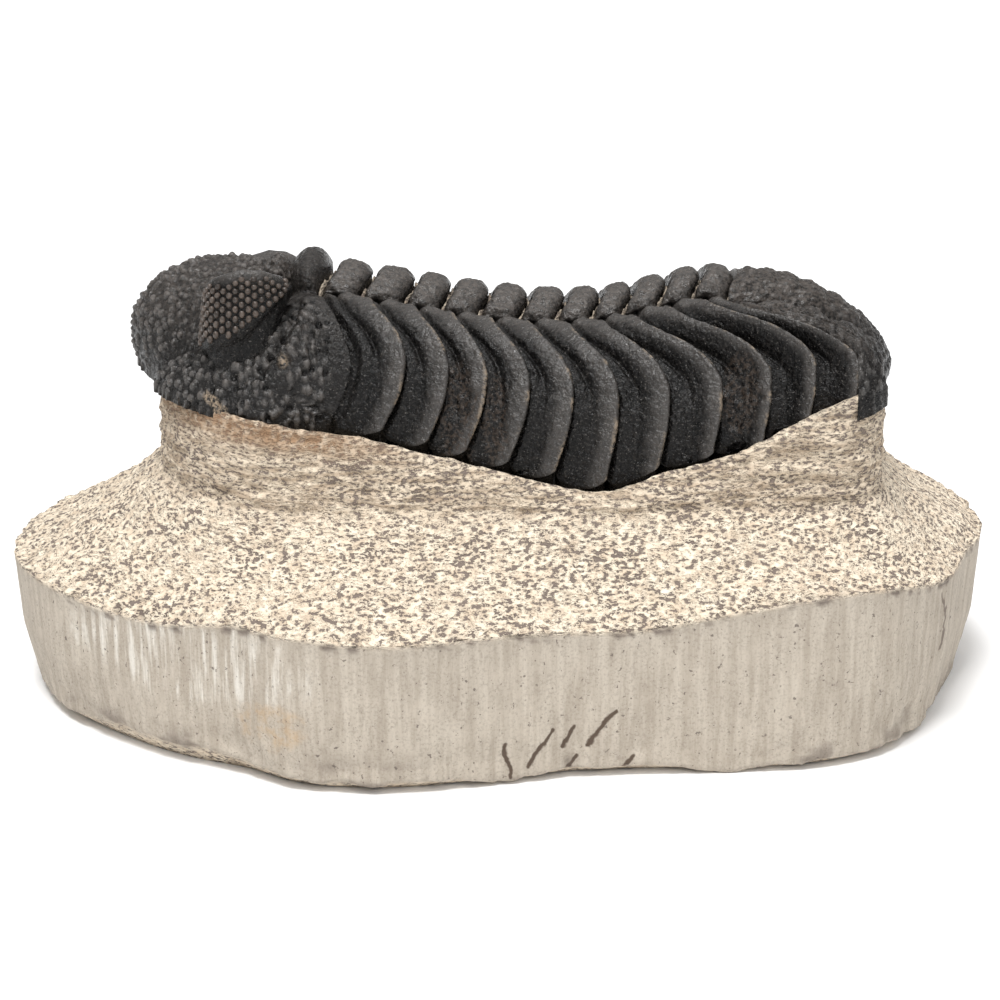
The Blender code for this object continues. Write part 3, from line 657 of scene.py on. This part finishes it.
def eye_shells(finish):
    """Both eyes without their lenses: a drum with a smooth, domed lid."""
    points, faces = [], []
    angle = np.linspace(0, 2 * math.pi, EYE_COLUMNS, endpoint=False)
    for side in (-1, 1):
        rows = []
        for height in np.linspace(-1.0, 1.0, EYE_ROWS):
            rows.append(eye_wall(angle, height))
        rim = eye_wall(angle, 1.0)
        middle = rim.mean(axis=0)
        for share in np.linspace(0, 1, 14)[1:-1]:
            ring = rim + (middle - rim) * share
            ring[:, 2] += 0.45 * math.sin(share * math.pi / 2) + 0.2 * math.sin(min(share * 3.5, 1) * math.pi)
            rows.append(ring)
        first = sum(len(part) for part in points)
        loop = np.concatenate(rows)
        loop = loop + 0.03 * rough_noise(loop, 0.6, 301)[:, None] * (0.3, 0.3, 1.0)
        loop[:, 1] *= side
        points.append(loop)
        wall = strip_faces(len(rows), EYE_COLUMNS, True)
        faces += [tuple(first + corner for corner in face) for face in wall]
        faces.append(tuple(range(first, first + EYE_COLUMNS)))
        last = first + len(loop) - EYE_COLUMNS
        faces.append(tuple(range(last, last + EYE_COLUMNS)))
    points = np.concatenate(points)
    none = np.zeros(len(points))
    # The lid is lightened by dust and by a painted highlight through crest; with crest 0 the wall keeps a lower
    # specular, a painted shade.
    lid = smoothstep(27.2, 28.2, points[:, 2])
    layers = dict(dust_and_highlight=0.5 * lid, crust_and_glint=none, wear=none, crest=0.7 * lid)
    piece("eye_shells", to_world(points), faces, finish, ["cephalon"], layers)


def lens_places():
    """Middle and outward direction of each lens of one eye, in a slanting lattice."""
    files = 19
    for file in range(files):
        angle = (file - (files - 1) / 2) * LENS_PITCH * 0.87 / EYE_RADII[0]
        low, high = eye_wall(angle, 1e-6)[2], eye_wall(angle, 1.0)[2]
        row = 0
        while row * LENS_PITCH < high - low:
            z = math.floor(low / LENS_PITCH) * LENS_PITCH + (row + 0.5 * (file % 2)) * LENS_PITCH
            height = (z - low) / (high - low)
            row += 1
            if not 0.05 < height < 0.93:
                continue
            place = eye_wall(angle, height)
            ahead = eye_wall(angle + 0.01, height) - place
            above = eye_wall(angle, height + 0.01) - place
            out = np.cross(above, ahead)
            yield place, out / np.linalg.norm(out), above / np.linalg.norm(above)


def eye_lenses(finish):
    """The lenses of both eyes, each a small dome."""
    sides = 10
    turns = np.linspace(0, 2 * math.pi, sides, endpoint=False)
    points, faces = [], []
    for place, out, above in lens_places():
        right = np.cross(out, above)
        for side in (-1, 1):
            first = len(points)
            for lean in (-0.35, 0.15, 0.55, 1.0):
                reach = 0.4 * LENS_PITCH * math.cos(max(lean, 0.0) * 1.1)
                rise = 0.36 * LENS_PITCH * math.sin(lean * 1.45) + 0.01
                for turn in turns:
                    point = place + out * rise + reach * (right * math.cos(turn) + above * math.sin(turn))
                    points.append(point * (1, side, 1))
            for ring in range(3):
                for i in range(sides):
                    j = (i + 1) % sides
                    low, high = first + ring * sides, first + (ring + 1) * sides
                    faces.append((low + i, low + j, high + j, high + i))
            faces.append(tuple(range(first, first + sides)))
            faces.append(tuple(range(first + 3 * sides, first + 4 * sides)))
    points = np.array(points)
    piece("eye_lenses", to_world(points), faces, finish, ["cephalon"], {})


# The stone

def pedestal_half_width(x):
    """Half the width of the stone right under the shell's edge."""
    head = np.clip((-11.0 - x) / (-11.0 - PEDESTAL_ENDS[0]), 0, 1)
    tail = np.clip((x - 16.0) / (PEDESTAL_ENDS[1] - 16.0), 0, 1)
    width = PEDESTAL_HALF_WIDTH - 1.0 * smoothstep(8.0, 20.0, x)
    for end, squareness in zip((head, tail), PEDESTAL_SQUARENESS):
        width = width * (1 - end**squareness) ** (1 / squareness)
    return width


def rim_at(angle):
    """Distance from the middle and height of the stone's rim, in a direction seen from above."""
    rim = np.array(RIM)
    turns = np.arctan2(rim[:, 1], rim[:, 0]) % (2 * math.pi)
    order = np.argsort(turns)
    turns, reach, height = turns[order], np.hypot(rim[:, 0], rim[:, 1])[order], rim[order, 2]
    wrapped = np.concatenate([turns - 2 * math.pi, turns, turns + 2 * math.pi])
    angle = angle % (2 * math.pi)
    return [curve_through(np.stack([wrapped, np.tile(line, 3)], axis=-1), angle) for line in (reach, height)]


def stone_rows():
    """Main rings of the stone from the top of its pedestal to its foot, and how many rows follow each."""
    turn = np.linspace(0, 2 * math.pi, STONE_COLUMNS, endpoint=False)
    middle = sum(PEDESTAL_ENDS) / 2
    half_length = (PEDESTAL_ENDS[1] - PEDESTAL_ENDS[0]) / 2
    top_x = middle + half_length * np.cos(turn)
    side = np.sign(np.sin(turn))
    top_y = side * pedestal_half_width(top_x)
    rise = STONE_RISE + STONE_TAIL_RISE * smoothstep(14.0, 22.0, top_x) * (1 - smoothstep(24.0, 24.7, top_x))
    top = np.stack([top_x, top_y + MIDDLE_Y, floor_z(top_x) + rise], axis=-1)
    toe = top + np.stack([0 * turn, side * TOE_OUT * np.abs(np.sin(turn)), TOE_Z - top[:, 2]], axis=-1)
    flank = top * 0.45 + toe * 0.55
    flank[:, 2] += 0.4
    angle = np.arctan2(toe[:, 1], toe[:, 0])
    reach, height = rim_at(angle)
    outward = np.stack([np.cos(angle), np.sin(angle)], axis=-1)

    def ring(inset, z):
        return np.concatenate([outward * (reach - inset)[:, None], np.stack([z], axis=-1)], axis=-1)

    rim = ring(0 * angle, height)
    near, far = toe * 0.7 + rim * 0.3, toe * 0.35 + rim * 0.65
    near[:, 2] = toe[:, 2] + (rim[:, 2] - toe[:, 2]) * 0.42
    far[:, 2] = toe[:, 2] + (rim[:, 2] - toe[:, 2]) * 0.76
    inset = SIDE_INSET + (END_INSET - SIDE_INSET) * np.abs(np.cos(angle)) ** 6
    place = outward * reach[:, None]
    along_edge = np.stack([place[:, 0], place[:, 1], 0 * angle], axis=-1)
    uneven = 0.35 * noise(along_edge, 5.0, 471) + 0.2 * noise(along_edge, 1.6, 473)
    edge_z = LIFTED_EDGE * bump(angle, LIFTED_TOWARDS, 0.5) + np.maximum(0.4 + uneven, 0.05)
    inner = top * (0.96, 0.96, 1.0) + (middle * 0.04, MIDDLE_Y * 0.04, -0.9)
    under_rim = ring(0.1 + 0 * angle, height - 0.7)
    half_way = ring(inset * 0.3, height * 0.5)
    edge, foot = ring(inset, edge_z), ring(inset + FOOT_INSET, 0 * angle)
    return [
        (inner, 2), (top, 8), (flank, 16), (toe, 16), (near, 18), (far, 18), (rim, 4),
        (under_rim, 14), (half_way, 16), (edge, 4), (foot, 0),
    ]


def stone(finish):
    """The limestone: a pedestal under the trilobite on a slab with sawn sides and a broken lower edge."""
    rings = stone_rows()
    scale = 1
    rows, order = [], []
    for place, ((here, count), (after, _)) in enumerate(zip(rings, rings[1:])):
        count = max(count // scale, 1)
        for share in np.arange(count) / count:
            rows.append(here * (1 - share) + after * share)
            order.append(place + share)
    rows.append(rings[-1][0])
    order.append(len(rings) - 1.0)
    grid = np.array(rows)
    order = np.array(order)[:, None]
    on_top = smoothstep(2.6, 3.2, order) * smoothstep(6.2, 5.9, order)
    on_wall = smoothstep(0.9, 1.3, order) * smoothstep(3.4, 2.8, order)
    on_side = smoothstep(6.0, 6.6, order) * smoothstep(9.6, 9.0, order)
    at_rim = bump(order, 6.0, 0.35)
    at_edge = bump(order, 9.0, 0.5)
    normals = np.cross(np.gradient(grid, axis=0), np.roll(grid, -1, axis=1) - np.roll(grid, 1, axis=1))
    normals /= np.maximum(np.linalg.norm(normals, axis=-1, keepdims=True), 1e-9)
    outward = grid[..., :2] / np.linalg.norm(grid[..., :2], axis=-1, keepdims=True)
    facing = np.sign(np.sum(normals[len(grid) * 3 // 4, :, :2] * outward[len(grid) * 3 // 4], axis=-1).mean())
    normals *= facing
    lumps = 0.16 * rough_noise(grid, (1.6, 1.0, 1.0), 401) + 0.14 * (domes(grid, (0.9, 0.7, 0.7), 411) - 0.4)
    lumps = lumps + 0.12 * noise(grid, (4.0, 1.2, 1.2), 415)
    ledges = 0.3 * rough_noise(grid, (3.0, 3.0, 0.55), 421) + 0.14 * noise(grid, 0.5, 425)
    striae = 0.035 * noise(grid, (0.35, 0.35, 6.0), 431) + 0.05 * rough_noise(grid, (1.5, 1.5, 5.0), 435)
    crumbs = -0.6 * np.maximum(rough_noise(grid, 0.8, 441) + 0.1, 0)
    chips = -0.55 * np.maximum(rough_noise(grid, 2.2, 451), 0) - 0.15 * np.abs(noise(grid, 0.6, 455))
    lift = on_top * lumps + on_wall * ledges + on_side * striae + at_rim * crumbs + at_edge * chips
    lift = lift + bump(order, 1.0, 0.3) * 0.15 * rough_noise(grid, 0.8, 461)
    grid = grid + normals * lift[..., None]
    grid[-1, :, 2] = 0.0
    grid[..., 2] = np.maximum(grid[..., 2], 0.0)
    count = STONE_COLUMNS
    faces = strip_faces(len(grid), count, True)
    for i in range(count // 2):
        corners = (i, i + 1, count - i - 1, (count - i) % count)
        faces.append(tuple(dict.fromkeys(corners)))
    last = (len(grid) - 1) * count
    faces.append(tuple(range(last, last + count)))
    near_head = smoothstep(-4.0, -12.0, grid[..., 0]) * bump(order, 1.25, 0.4)
    spots = bump(order, 6.5, 0.35) * smoothstep(0.05, 0.35, rough_noise(grid, 0.8, 481))
    broken = bump(order, 9.0, 0.25) * smoothstep(0.0, 0.3, rough_noise(grid, (2.5, 2.5, 1.2), 485))
    shade = np.maximum(smoothstep(0.15, 0.6, -lift), np.maximum(spots, 0.7 * broken))
    layers = dict(side=on_side + 0 * lift, wall=on_wall + 0 * lift, rust=near_head, shade=shade)
    piece("limestone", grid.reshape(-1, 3) * MM, faces, finish, ["matrix"], layers)


# Materials

class Nodes:
    """Adds shader nodes to a material and links them."""

    def __init__(self, name):
        self.material = bpy.data.materials.new(name)
        self.material.use_nodes = True
        self.tree = self.material.node_tree
        self.shader = self.tree.nodes["Principled BSDF"]
        self.place = self.add("ShaderNodeTexCoord").outputs["Object"]

    def add(self, kind, **inputs):
        made = self.tree.nodes.new(kind)
        for name, value in inputs.items():
            socket = int(name[1:]) if name[0] == "_" else name.replace("_", " ").title()
            self.feed(made.inputs[socket], value)
        return made

    def feed(self, socket, value):
        if isinstance(value, bpy.types.NodeSocket):
            self.tree.links.new(value, socket)
        else:
            socket.default_value = value

    def noise(self, pitch, detail=3.0, roughness=0.6, stretch=(1.0, 1.0, 1.0)):
        """Noise from 0 to 1 whose features are about a pitch in millimetres, stretched by axis."""
        scale = tuple(1.0 / (pitch * MM * factor) for factor in stretch)
        mapping = self.add("ShaderNodeMapping", vector=self.place, scale=scale)
        texture = self.add("ShaderNodeTexNoise", vector=mapping.outputs[0], scale=1.0, detail=detail)
        texture.inputs["Roughness"].default_value = roughness
        return texture.outputs["Fac"]

    def ramp(self, value, low, high, first=0.0, last=1.0):
        """A value stretched so that low gives first and high gives last."""
        made = self.add("ShaderNodeMapRange", _0=value, _1=low, _2=high, _3=first, _4=last)
        made.interpolation_type = "SMOOTHSTEP"
        return made.outputs[0]

    def mix(self, share, first, second):
        made = self.tree.nodes.new("ShaderNodeMix")
        made.data_type = "RGBA"
        for socket, value in ((made.inputs[0], share), (made.inputs[6], first), (made.inputs[7], second)):
            if isinstance(value, tuple):
                value = (*value, 1.0)
            self.feed(socket, value)
        return made.outputs[2]

    def math(self, operation, first, second=0.0):
        made = self.tree.nodes.new("ShaderNodeMath")
        made.operation = operation
        self.feed(made.inputs[0], first)
        self.feed(made.inputs[1], second)
        return made.outputs[0]

    def attribute(self, name):
        made = self.tree.nodes.new("ShaderNodeAttribute")
        made.attribute_name = name
        return made.outputs["Fac"]

    def vector(self, operation, first, second=(0.0, 0.0, 0.0)):
        made = self.tree.nodes.new("ShaderNodeVectorMath")
        made.operation = operation
        self.feed(made.inputs[0], first)
        self.feed(made.inputs[1], second)
        return made

    def spot(self, x, z, half_x, half_z):
        """1 within an oval seen from the side and 0 outside it, with an uneven edge."""
        sizes = (1 / (half_x * MM), 0.0, 1 / (half_z * MM))
        offset = self.vector("SUBTRACT", self.place, (x * MM, 0.0, z * MM))
        offset = self.vector("MULTIPLY", offset.outputs[0], sizes)
        away = self.vector("LENGTH", offset.outputs[0]).outputs["Value"]
        return self.ramp(self.math("ADD", away, self.noise(0.9, detail=4.0)), 1.2, 1.7, 1.0, 0.0)

    def line(self, start, end, width):
        """1 on a line seen from the side and 0 away from it."""
        along = Vector((end[0] - start[0], 0.0, end[1] - start[1])) * MM
        flat = self.vector("MULTIPLY", self.place, (1.0, 0.0, 1.0)).outputs[0]
        waver = self.ramp(self.noise(1.5), 0.0, 1.0, -0.3 * MM, 0.3 * MM)
        moved = self.vector("ADD", flat, self.add("ShaderNodeCombineXYZ", _0=waver).outputs[0]).outputs[0]
        offset = self.vector("SUBTRACT", moved, (start[0] * MM, 0.0, start[1] * MM)).outputs[0]
        share = self.vector("DOT_PRODUCT", offset, tuple(along / along.length_squared)).outputs["Value"]
        clipped = self.math("MINIMUM", self.math("MAXIMUM", share, 0.0), 1.0)
        nearest = self.vector("SCALE", tuple(along))
        self.feed(nearest.inputs["Scale"], clipped)
        apart = self.vector("SUBTRACT", offset, nearest.outputs[0])
        away = self.vector("LENGTH", apart.outputs[0]).outputs["Value"]
        return self.ramp(away, 0.4 * width * MM, width * MM, 1.0, 0.0)

    def bump(self, height, depth, under=None):
        made = self.add("ShaderNodeBump", height=height, strength=1.0, distance=depth * MM)
        if under is not None:
            self.tree.links.new(under, made.inputs["Normal"])
        return made.outputs["Normal"]

    def finish(self, colour, roughness, normal):
        self.feed(self.shader.inputs["Base Color"], colour)
        self.feed(self.shader.inputs["Roughness"], roughness)
        self.feed(self.shader.inputs["Normal"], normal)
        return self.material


def fossil_material():
    """Black calcite shell, with brown dust and painted highlights on high places, painted shade in the hollows,
    pale flecks painted as glints, and tan crust along the edges with one painted glint.
    """
    nodes = Nodes("fossil_shell")
    cloudy = nodes.noise(1.8)
    painted_glint_flecks = nodes.noise(0.13, detail=3.0, roughness=0.7)
    grit = nodes.noise(0.2, detail=3.0, roughness=0.65)
    crest = nodes.attribute("crest")
    colour = nodes.mix(nodes.ramp(cloudy, 0.35, 0.65), (0.003, 0.0028, 0.0028), (0.007, 0.0064, 0.0062))
    # Painted highlight: the raised places named by crest are lightened to grey.
    painted_highlight = nodes.math("MULTIPLY", crest, nodes.ramp(cloudy, 0.25, 0.6, 0.6, 1.0))
    colour = nodes.mix(painted_highlight, colour, (0.060, 0.055, 0.051))
    colour = nodes.mix(nodes.ramp(grit, 0.52, 0.68, 0.0, 0.6), colour, (0.036, 0.032, 0.029))
    # Painted glints: sparse pale flecks that stand in for sparkle on the black shell.
    colour = nodes.mix(nodes.ramp(painted_glint_flecks, 0.60, 0.70, 0.0, 0.75), colour, (0.18, 0.165, 0.15))
    # Brown dust on high places, which also carries a painted highlight.
    patchy = nodes.ramp(nodes.noise(0.3, detail=4.0), 0.38, 0.62, 0.1, 0.75)
    dust_and_highlight_share = nodes.math("MULTIPLY", nodes.attribute("dust_and_highlight"), patchy)
    colour = nodes.mix(dust_and_highlight_share, colour, (0.105, 0.088, 0.076))
    scuffed = nodes.ramp(nodes.noise(0.25, detail=4.0), 0.46, 0.6)
    worn = nodes.math("MULTIPLY", nodes.attribute("wear"), scuffed)
    colour = nodes.mix(worn, colour, (0.045, 0.034, 0.027))
    # Tan crust along the rear edges, and one painted glint on the cheek.
    crumbly = nodes.ramp(nodes.noise(0.2), 0.38, 0.58)
    crust_and_glint_share = nodes.math("MULTIPLY", nodes.attribute("crust_and_glint"), crumbly)
    colour = nodes.mix(crust_and_glint_share, colour, (0.30, 0.235, 0.17))
    roughness = nodes.ramp(nodes.noise(0.45), 0.3, 0.7, 0.12, 0.36)
    roughness = nodes.math("ADD", roughness, nodes.math("MULTIPLY", crust_and_glint_share, 0.4))
    roughness = nodes.math("ADD", roughness, nodes.math("MULTIPLY", dust_and_highlight_share, 0.2))
    # Painted shade: the specular is lowered where crest is low, in the hollows.
    nodes.feed(nodes.shader.inputs["Specular IOR Level"], nodes.ramp(crest, 0.0, 0.8, 0.22, 0.6))
    normal = nodes.bump(nodes.noise(0.34, detail=3.0), 0.19)
    normal = nodes.bump(grit, 0.05, normal)
    return nodes.finish(colour, roughness, normal)


def lens_material():
    """Brown calcite lenses."""
    nodes = Nodes("fossil_lens")
    colour = nodes.mix(nodes.ramp(nodes.noise(0.5), 0.3, 0.7), (0.030, 0.023, 0.019), (0.11, 0.084, 0.068))
    roughness = nodes.ramp(nodes.noise(0.3), 0.3, 0.7, 0.18, 0.35)
    return nodes.finish(colour, roughness, nodes.bump(nodes.noise(0.12), 0.02))


# TAUPE is partly the darker stone in the crevices and partly painted shade there.
TAUPE = (0.20, 0.158, 0.132)
CRACKS = (  # points of x and z, which mark the near and the far side alike
    ((0.4, 2.7), (0.4, 1.8), (0.7, 0.5)), ((3.2, 3.4), (2.5, 2.2), (1.8, 1.1)), ((4.5, 3.5), (3.9, 2.2)),
    ((4.8, 1.5), (4.2, 0.7)), ((7.1, 4.4), (6.4, 3.7), (5.5, 2.2)), ((8.2, 1.3), (7.7, 0.6)),
)
HAIRLINE = ((28.4, 9.4), (28.7, 7.4), (28.5, 5.4))
CRACK_WIDTH = 0.2
HAIRLINE_WIDTH = 0.09
CHALK_SPOT = (-19.5, 7.4, 7.5, 2.8)  # x, z and half sizes, on both sides too
RUST_SPOT = (-14.0, 3.9, 2.2, 1.5)


def stone_material():
    """Cream limestone full of taupe crevices, partly the darker stone and partly painted shade, with greyer,
    striated sawn sides.
    """
    nodes = Nodes("limestone_surface")
    side, wall, rust, shade = (nodes.attribute(name) for name in ("side", "wall", "rust", "shade"))
    # The taupe in the crevices between the granules is partly the darker stone and partly painted shade where
    # the bump sinks.
    granules = nodes.noise(0.3, detail=2.0, stretch=(1.3, 1.6, 0.6))
    limit = nodes.ramp(nodes.noise(3.5), 0.3, 0.7, 0.40, 0.465)
    crevice = nodes.ramp(nodes.math("SUBTRACT", limit, granules), -0.012, 0.03)
    cream = nodes.mix(nodes.ramp(nodes.noise(0.8), 0.3, 0.7), (0.70, 0.57, 0.43), (0.90, 0.79, 0.63))
    layered = nodes.noise(1.3, detail=4.0, stretch=(2.0, 2.0, 0.3))
    banks = nodes.mix(nodes.ramp(layered, 0.35, 0.65), (0.40, 0.30, 0.21), (0.80, 0.68, 0.53))
    top = nodes.mix(crevice, nodes.mix(nodes.math("MULTIPLY", wall, 0.8), cream, banks), TAUPE)
    stained = nodes.math("MULTIPLY", rust, nodes.ramp(nodes.noise(0.6), 0.3, 0.6, 0.3, 0.9))
    top = nodes.mix(stained, top, (0.33, 0.19, 0.10))
    streaks = nodes.noise(0.6, detail=4.0, roughness=0.65, stretch=(1.0, 1.0, 12.0))
    sawn = nodes.mix(nodes.ramp(streaks, 0.3, 0.7), (0.40, 0.345, 0.28), (0.55, 0.49, 0.41))
    fine = nodes.ramp(nodes.noise(0.17, detail=2.0), 0.45, 0.7, 0.0, 0.45)
    sawn = nodes.mix(fine, sawn, (0.27, 0.225, 0.185))
    broad = nodes.ramp(nodes.noise(2.2, detail=4.0), 0.45, 0.75, 0.0, 0.35)
    sawn = nodes.mix(broad, sawn, (0.62, 0.55, 0.46))
    chalky = nodes.math("MULTIPLY", nodes.spot(*CHALK_SPOT), nodes.ramp(streaks, 0.46, 0.66, 0.0, 0.6))
    sawn = nodes.mix(chalky, sawn, (0.86, 0.83, 0.76))
    mottled = nodes.ramp(nodes.noise(1.1, detail=4.0), 0.4, 0.65, 0.05, 0.5)
    sawn = nodes.mix(nodes.math("MULTIPLY", nodes.spot(*RUST_SPOT), mottled), sawn, (0.50, 0.33, 0.17))
    specks = nodes.ramp(nodes.noise(0.32, detail=3.0), 0.64, 0.70, 0.0, 0.8)
    sawn = nodes.mix(specks, sawn, (0.13, 0.105, 0.09))
    for route in CRACKS:
        for start, end in zip(route, route[1:]):
            sawn = nodes.mix(nodes.line(start, end, CRACK_WIDTH), sawn, (0.10, 0.07, 0.05))
    for start, end in zip(HAIRLINE, HAIRLINE[1:]):
        sawn = nodes.mix(nodes.line(start, end, HAIRLINE_WIDTH), sawn, (0.20, 0.16, 0.13))
    colour = nodes.mix(side, top, sawn)
    colour = nodes.mix(nodes.math("MULTIPLY", shade, 0.85), colour, (0.13, 0.10, 0.083))
    rough = nodes.math("MULTIPLY", nodes.math("SUBTRACT", 1.0, side), nodes.ramp(granules, 0.35, 0.6))
    normal = nodes.bump(rough, 0.16)
    normal = nodes.bump(nodes.noise(0.16, detail=3.0, stretch=(1.0, 1.0, 2.0)), 0.05, normal)
    return nodes.finish(colour, nodes.ramp(nodes.noise(0.5), 0.3, 0.7, 0.85, 0.95), normal)


# Floor, light and camera

CAMERA_ELEVATION = math.radians(17)
CAMERA_DISTANCE = 190.0
CAMERA_TARGET = (0.0, 1.5, 11.65)
FOCAL_PIXELS = 2787.0
SENSOR = 36.0
FRAME_PIXELS = 1000.0
SKY_AT_HORIZON = 0.12
SKY_OVERHEAD = 0.95
LAMPS = (("overhead", 2.4, 18.0, 18.0, -25.0), ("front", 0.6, 30.0, 55.0, 15.0))  # strength, then degrees
FLOOR_REACH = 3.0  # metres


def studio():
    """A pale floor, a sky that is brightest overhead, and two soft lamps."""
    nodes = Nodes("pale_floor")
    shade = nodes.mix(nodes.noise(60.0), (0.90, 0.90, 0.90), (0.93, 0.93, 0.93))
    finish = nodes.finish(shade, 0.9, nodes.bump(nodes.noise(2.0), 0.01))
    mesh = bpy.data.meshes.new("studio_floor")
    corners = [(x * FLOOR_REACH, y * FLOOR_REACH, 0) for x, y in ((-1, -1), (1, -1), (1, 1), (-1, 1))]
    mesh.from_pydata(corners, [], [(0, 1, 2, 3)])
    mesh.materials.append(finish)
    floor = bpy.data.objects.new("studio_floor", mesh)
    bpy.context.scene.collection.objects.link(floor)

    world = bpy.data.worlds.new("studio_sky")
    world.use_nodes = True
    background = world.node_tree.nodes["Background"]
    background.inputs["Color"].default_value = (1.0, 1.0, 1.0, 1.0)
    tree = world.node_tree
    direction = tree.nodes.new("ShaderNodeTexCoord")
    height = tree.nodes.new("ShaderNodeSeparateXYZ")
    fade = tree.nodes.new("ShaderNodeMapRange")
    fade.inputs["To Min"].default_value = SKY_AT_HORIZON
    fade.inputs["To Max"].default_value = SKY_OVERHEAD
    tree.links.new(direction.outputs["Generated"], height.inputs[0])
    tree.links.new(height.outputs["Z"], fade.inputs["Value"])
    tree.links.new(fade.outputs["Result"], background.inputs["Strength"])
    bpy.context.scene.world = world

    for name, strength, spread, tilt, turn in LAMPS:
        lamp = bpy.data.lights.new(name, "SUN")
        lamp.energy = strength
        lamp.angle = math.radians(spread)
        made = bpy.data.objects.new(name, lamp)
        made.rotation_euler = (math.radians(tilt), 0.0, math.radians(turn))
        bpy.context.scene.collection.objects.link(made)


def camera():
    """The camera at the photograph's angle."""
    target = Vector(CAMERA_TARGET) * MM
    away = Vector((0.0, -math.cos(CAMERA_ELEVATION), math.sin(CAMERA_ELEVATION))) * CAMERA_DISTANCE * MM
    lens = bpy.data.cameras.new("camera")
    lens.sensor_width = SENSOR
    lens.lens = FOCAL_PIXELS * SENSOR / FRAME_PIXELS
    lens.clip_start = 0.005
    lens.clip_end = 20.0
    made = bpy.data.objects.new("camera", lens)
    made.location = target + away
    made.rotation_euler = (-away).to_track_quat("-Z", "Y").to_euler()
    bpy.context.scene.collection.objects.link(made)
    bpy.context.scene.camera = made


def main():
    bpy.context.scene.view_settings.view_transform = "Standard"
    fossil = fossil_material()
    limestone = stone_material()
    stone(limestone)
    joint_stone(limestone)
    for index in range(SEGMENTS):
        segment(index, fossil)
    cephalon(fossil)
    eye_shells(fossil)
    eye_lenses(lens_material())
    pygidium(fossil)
    studio()
    camera()


main()
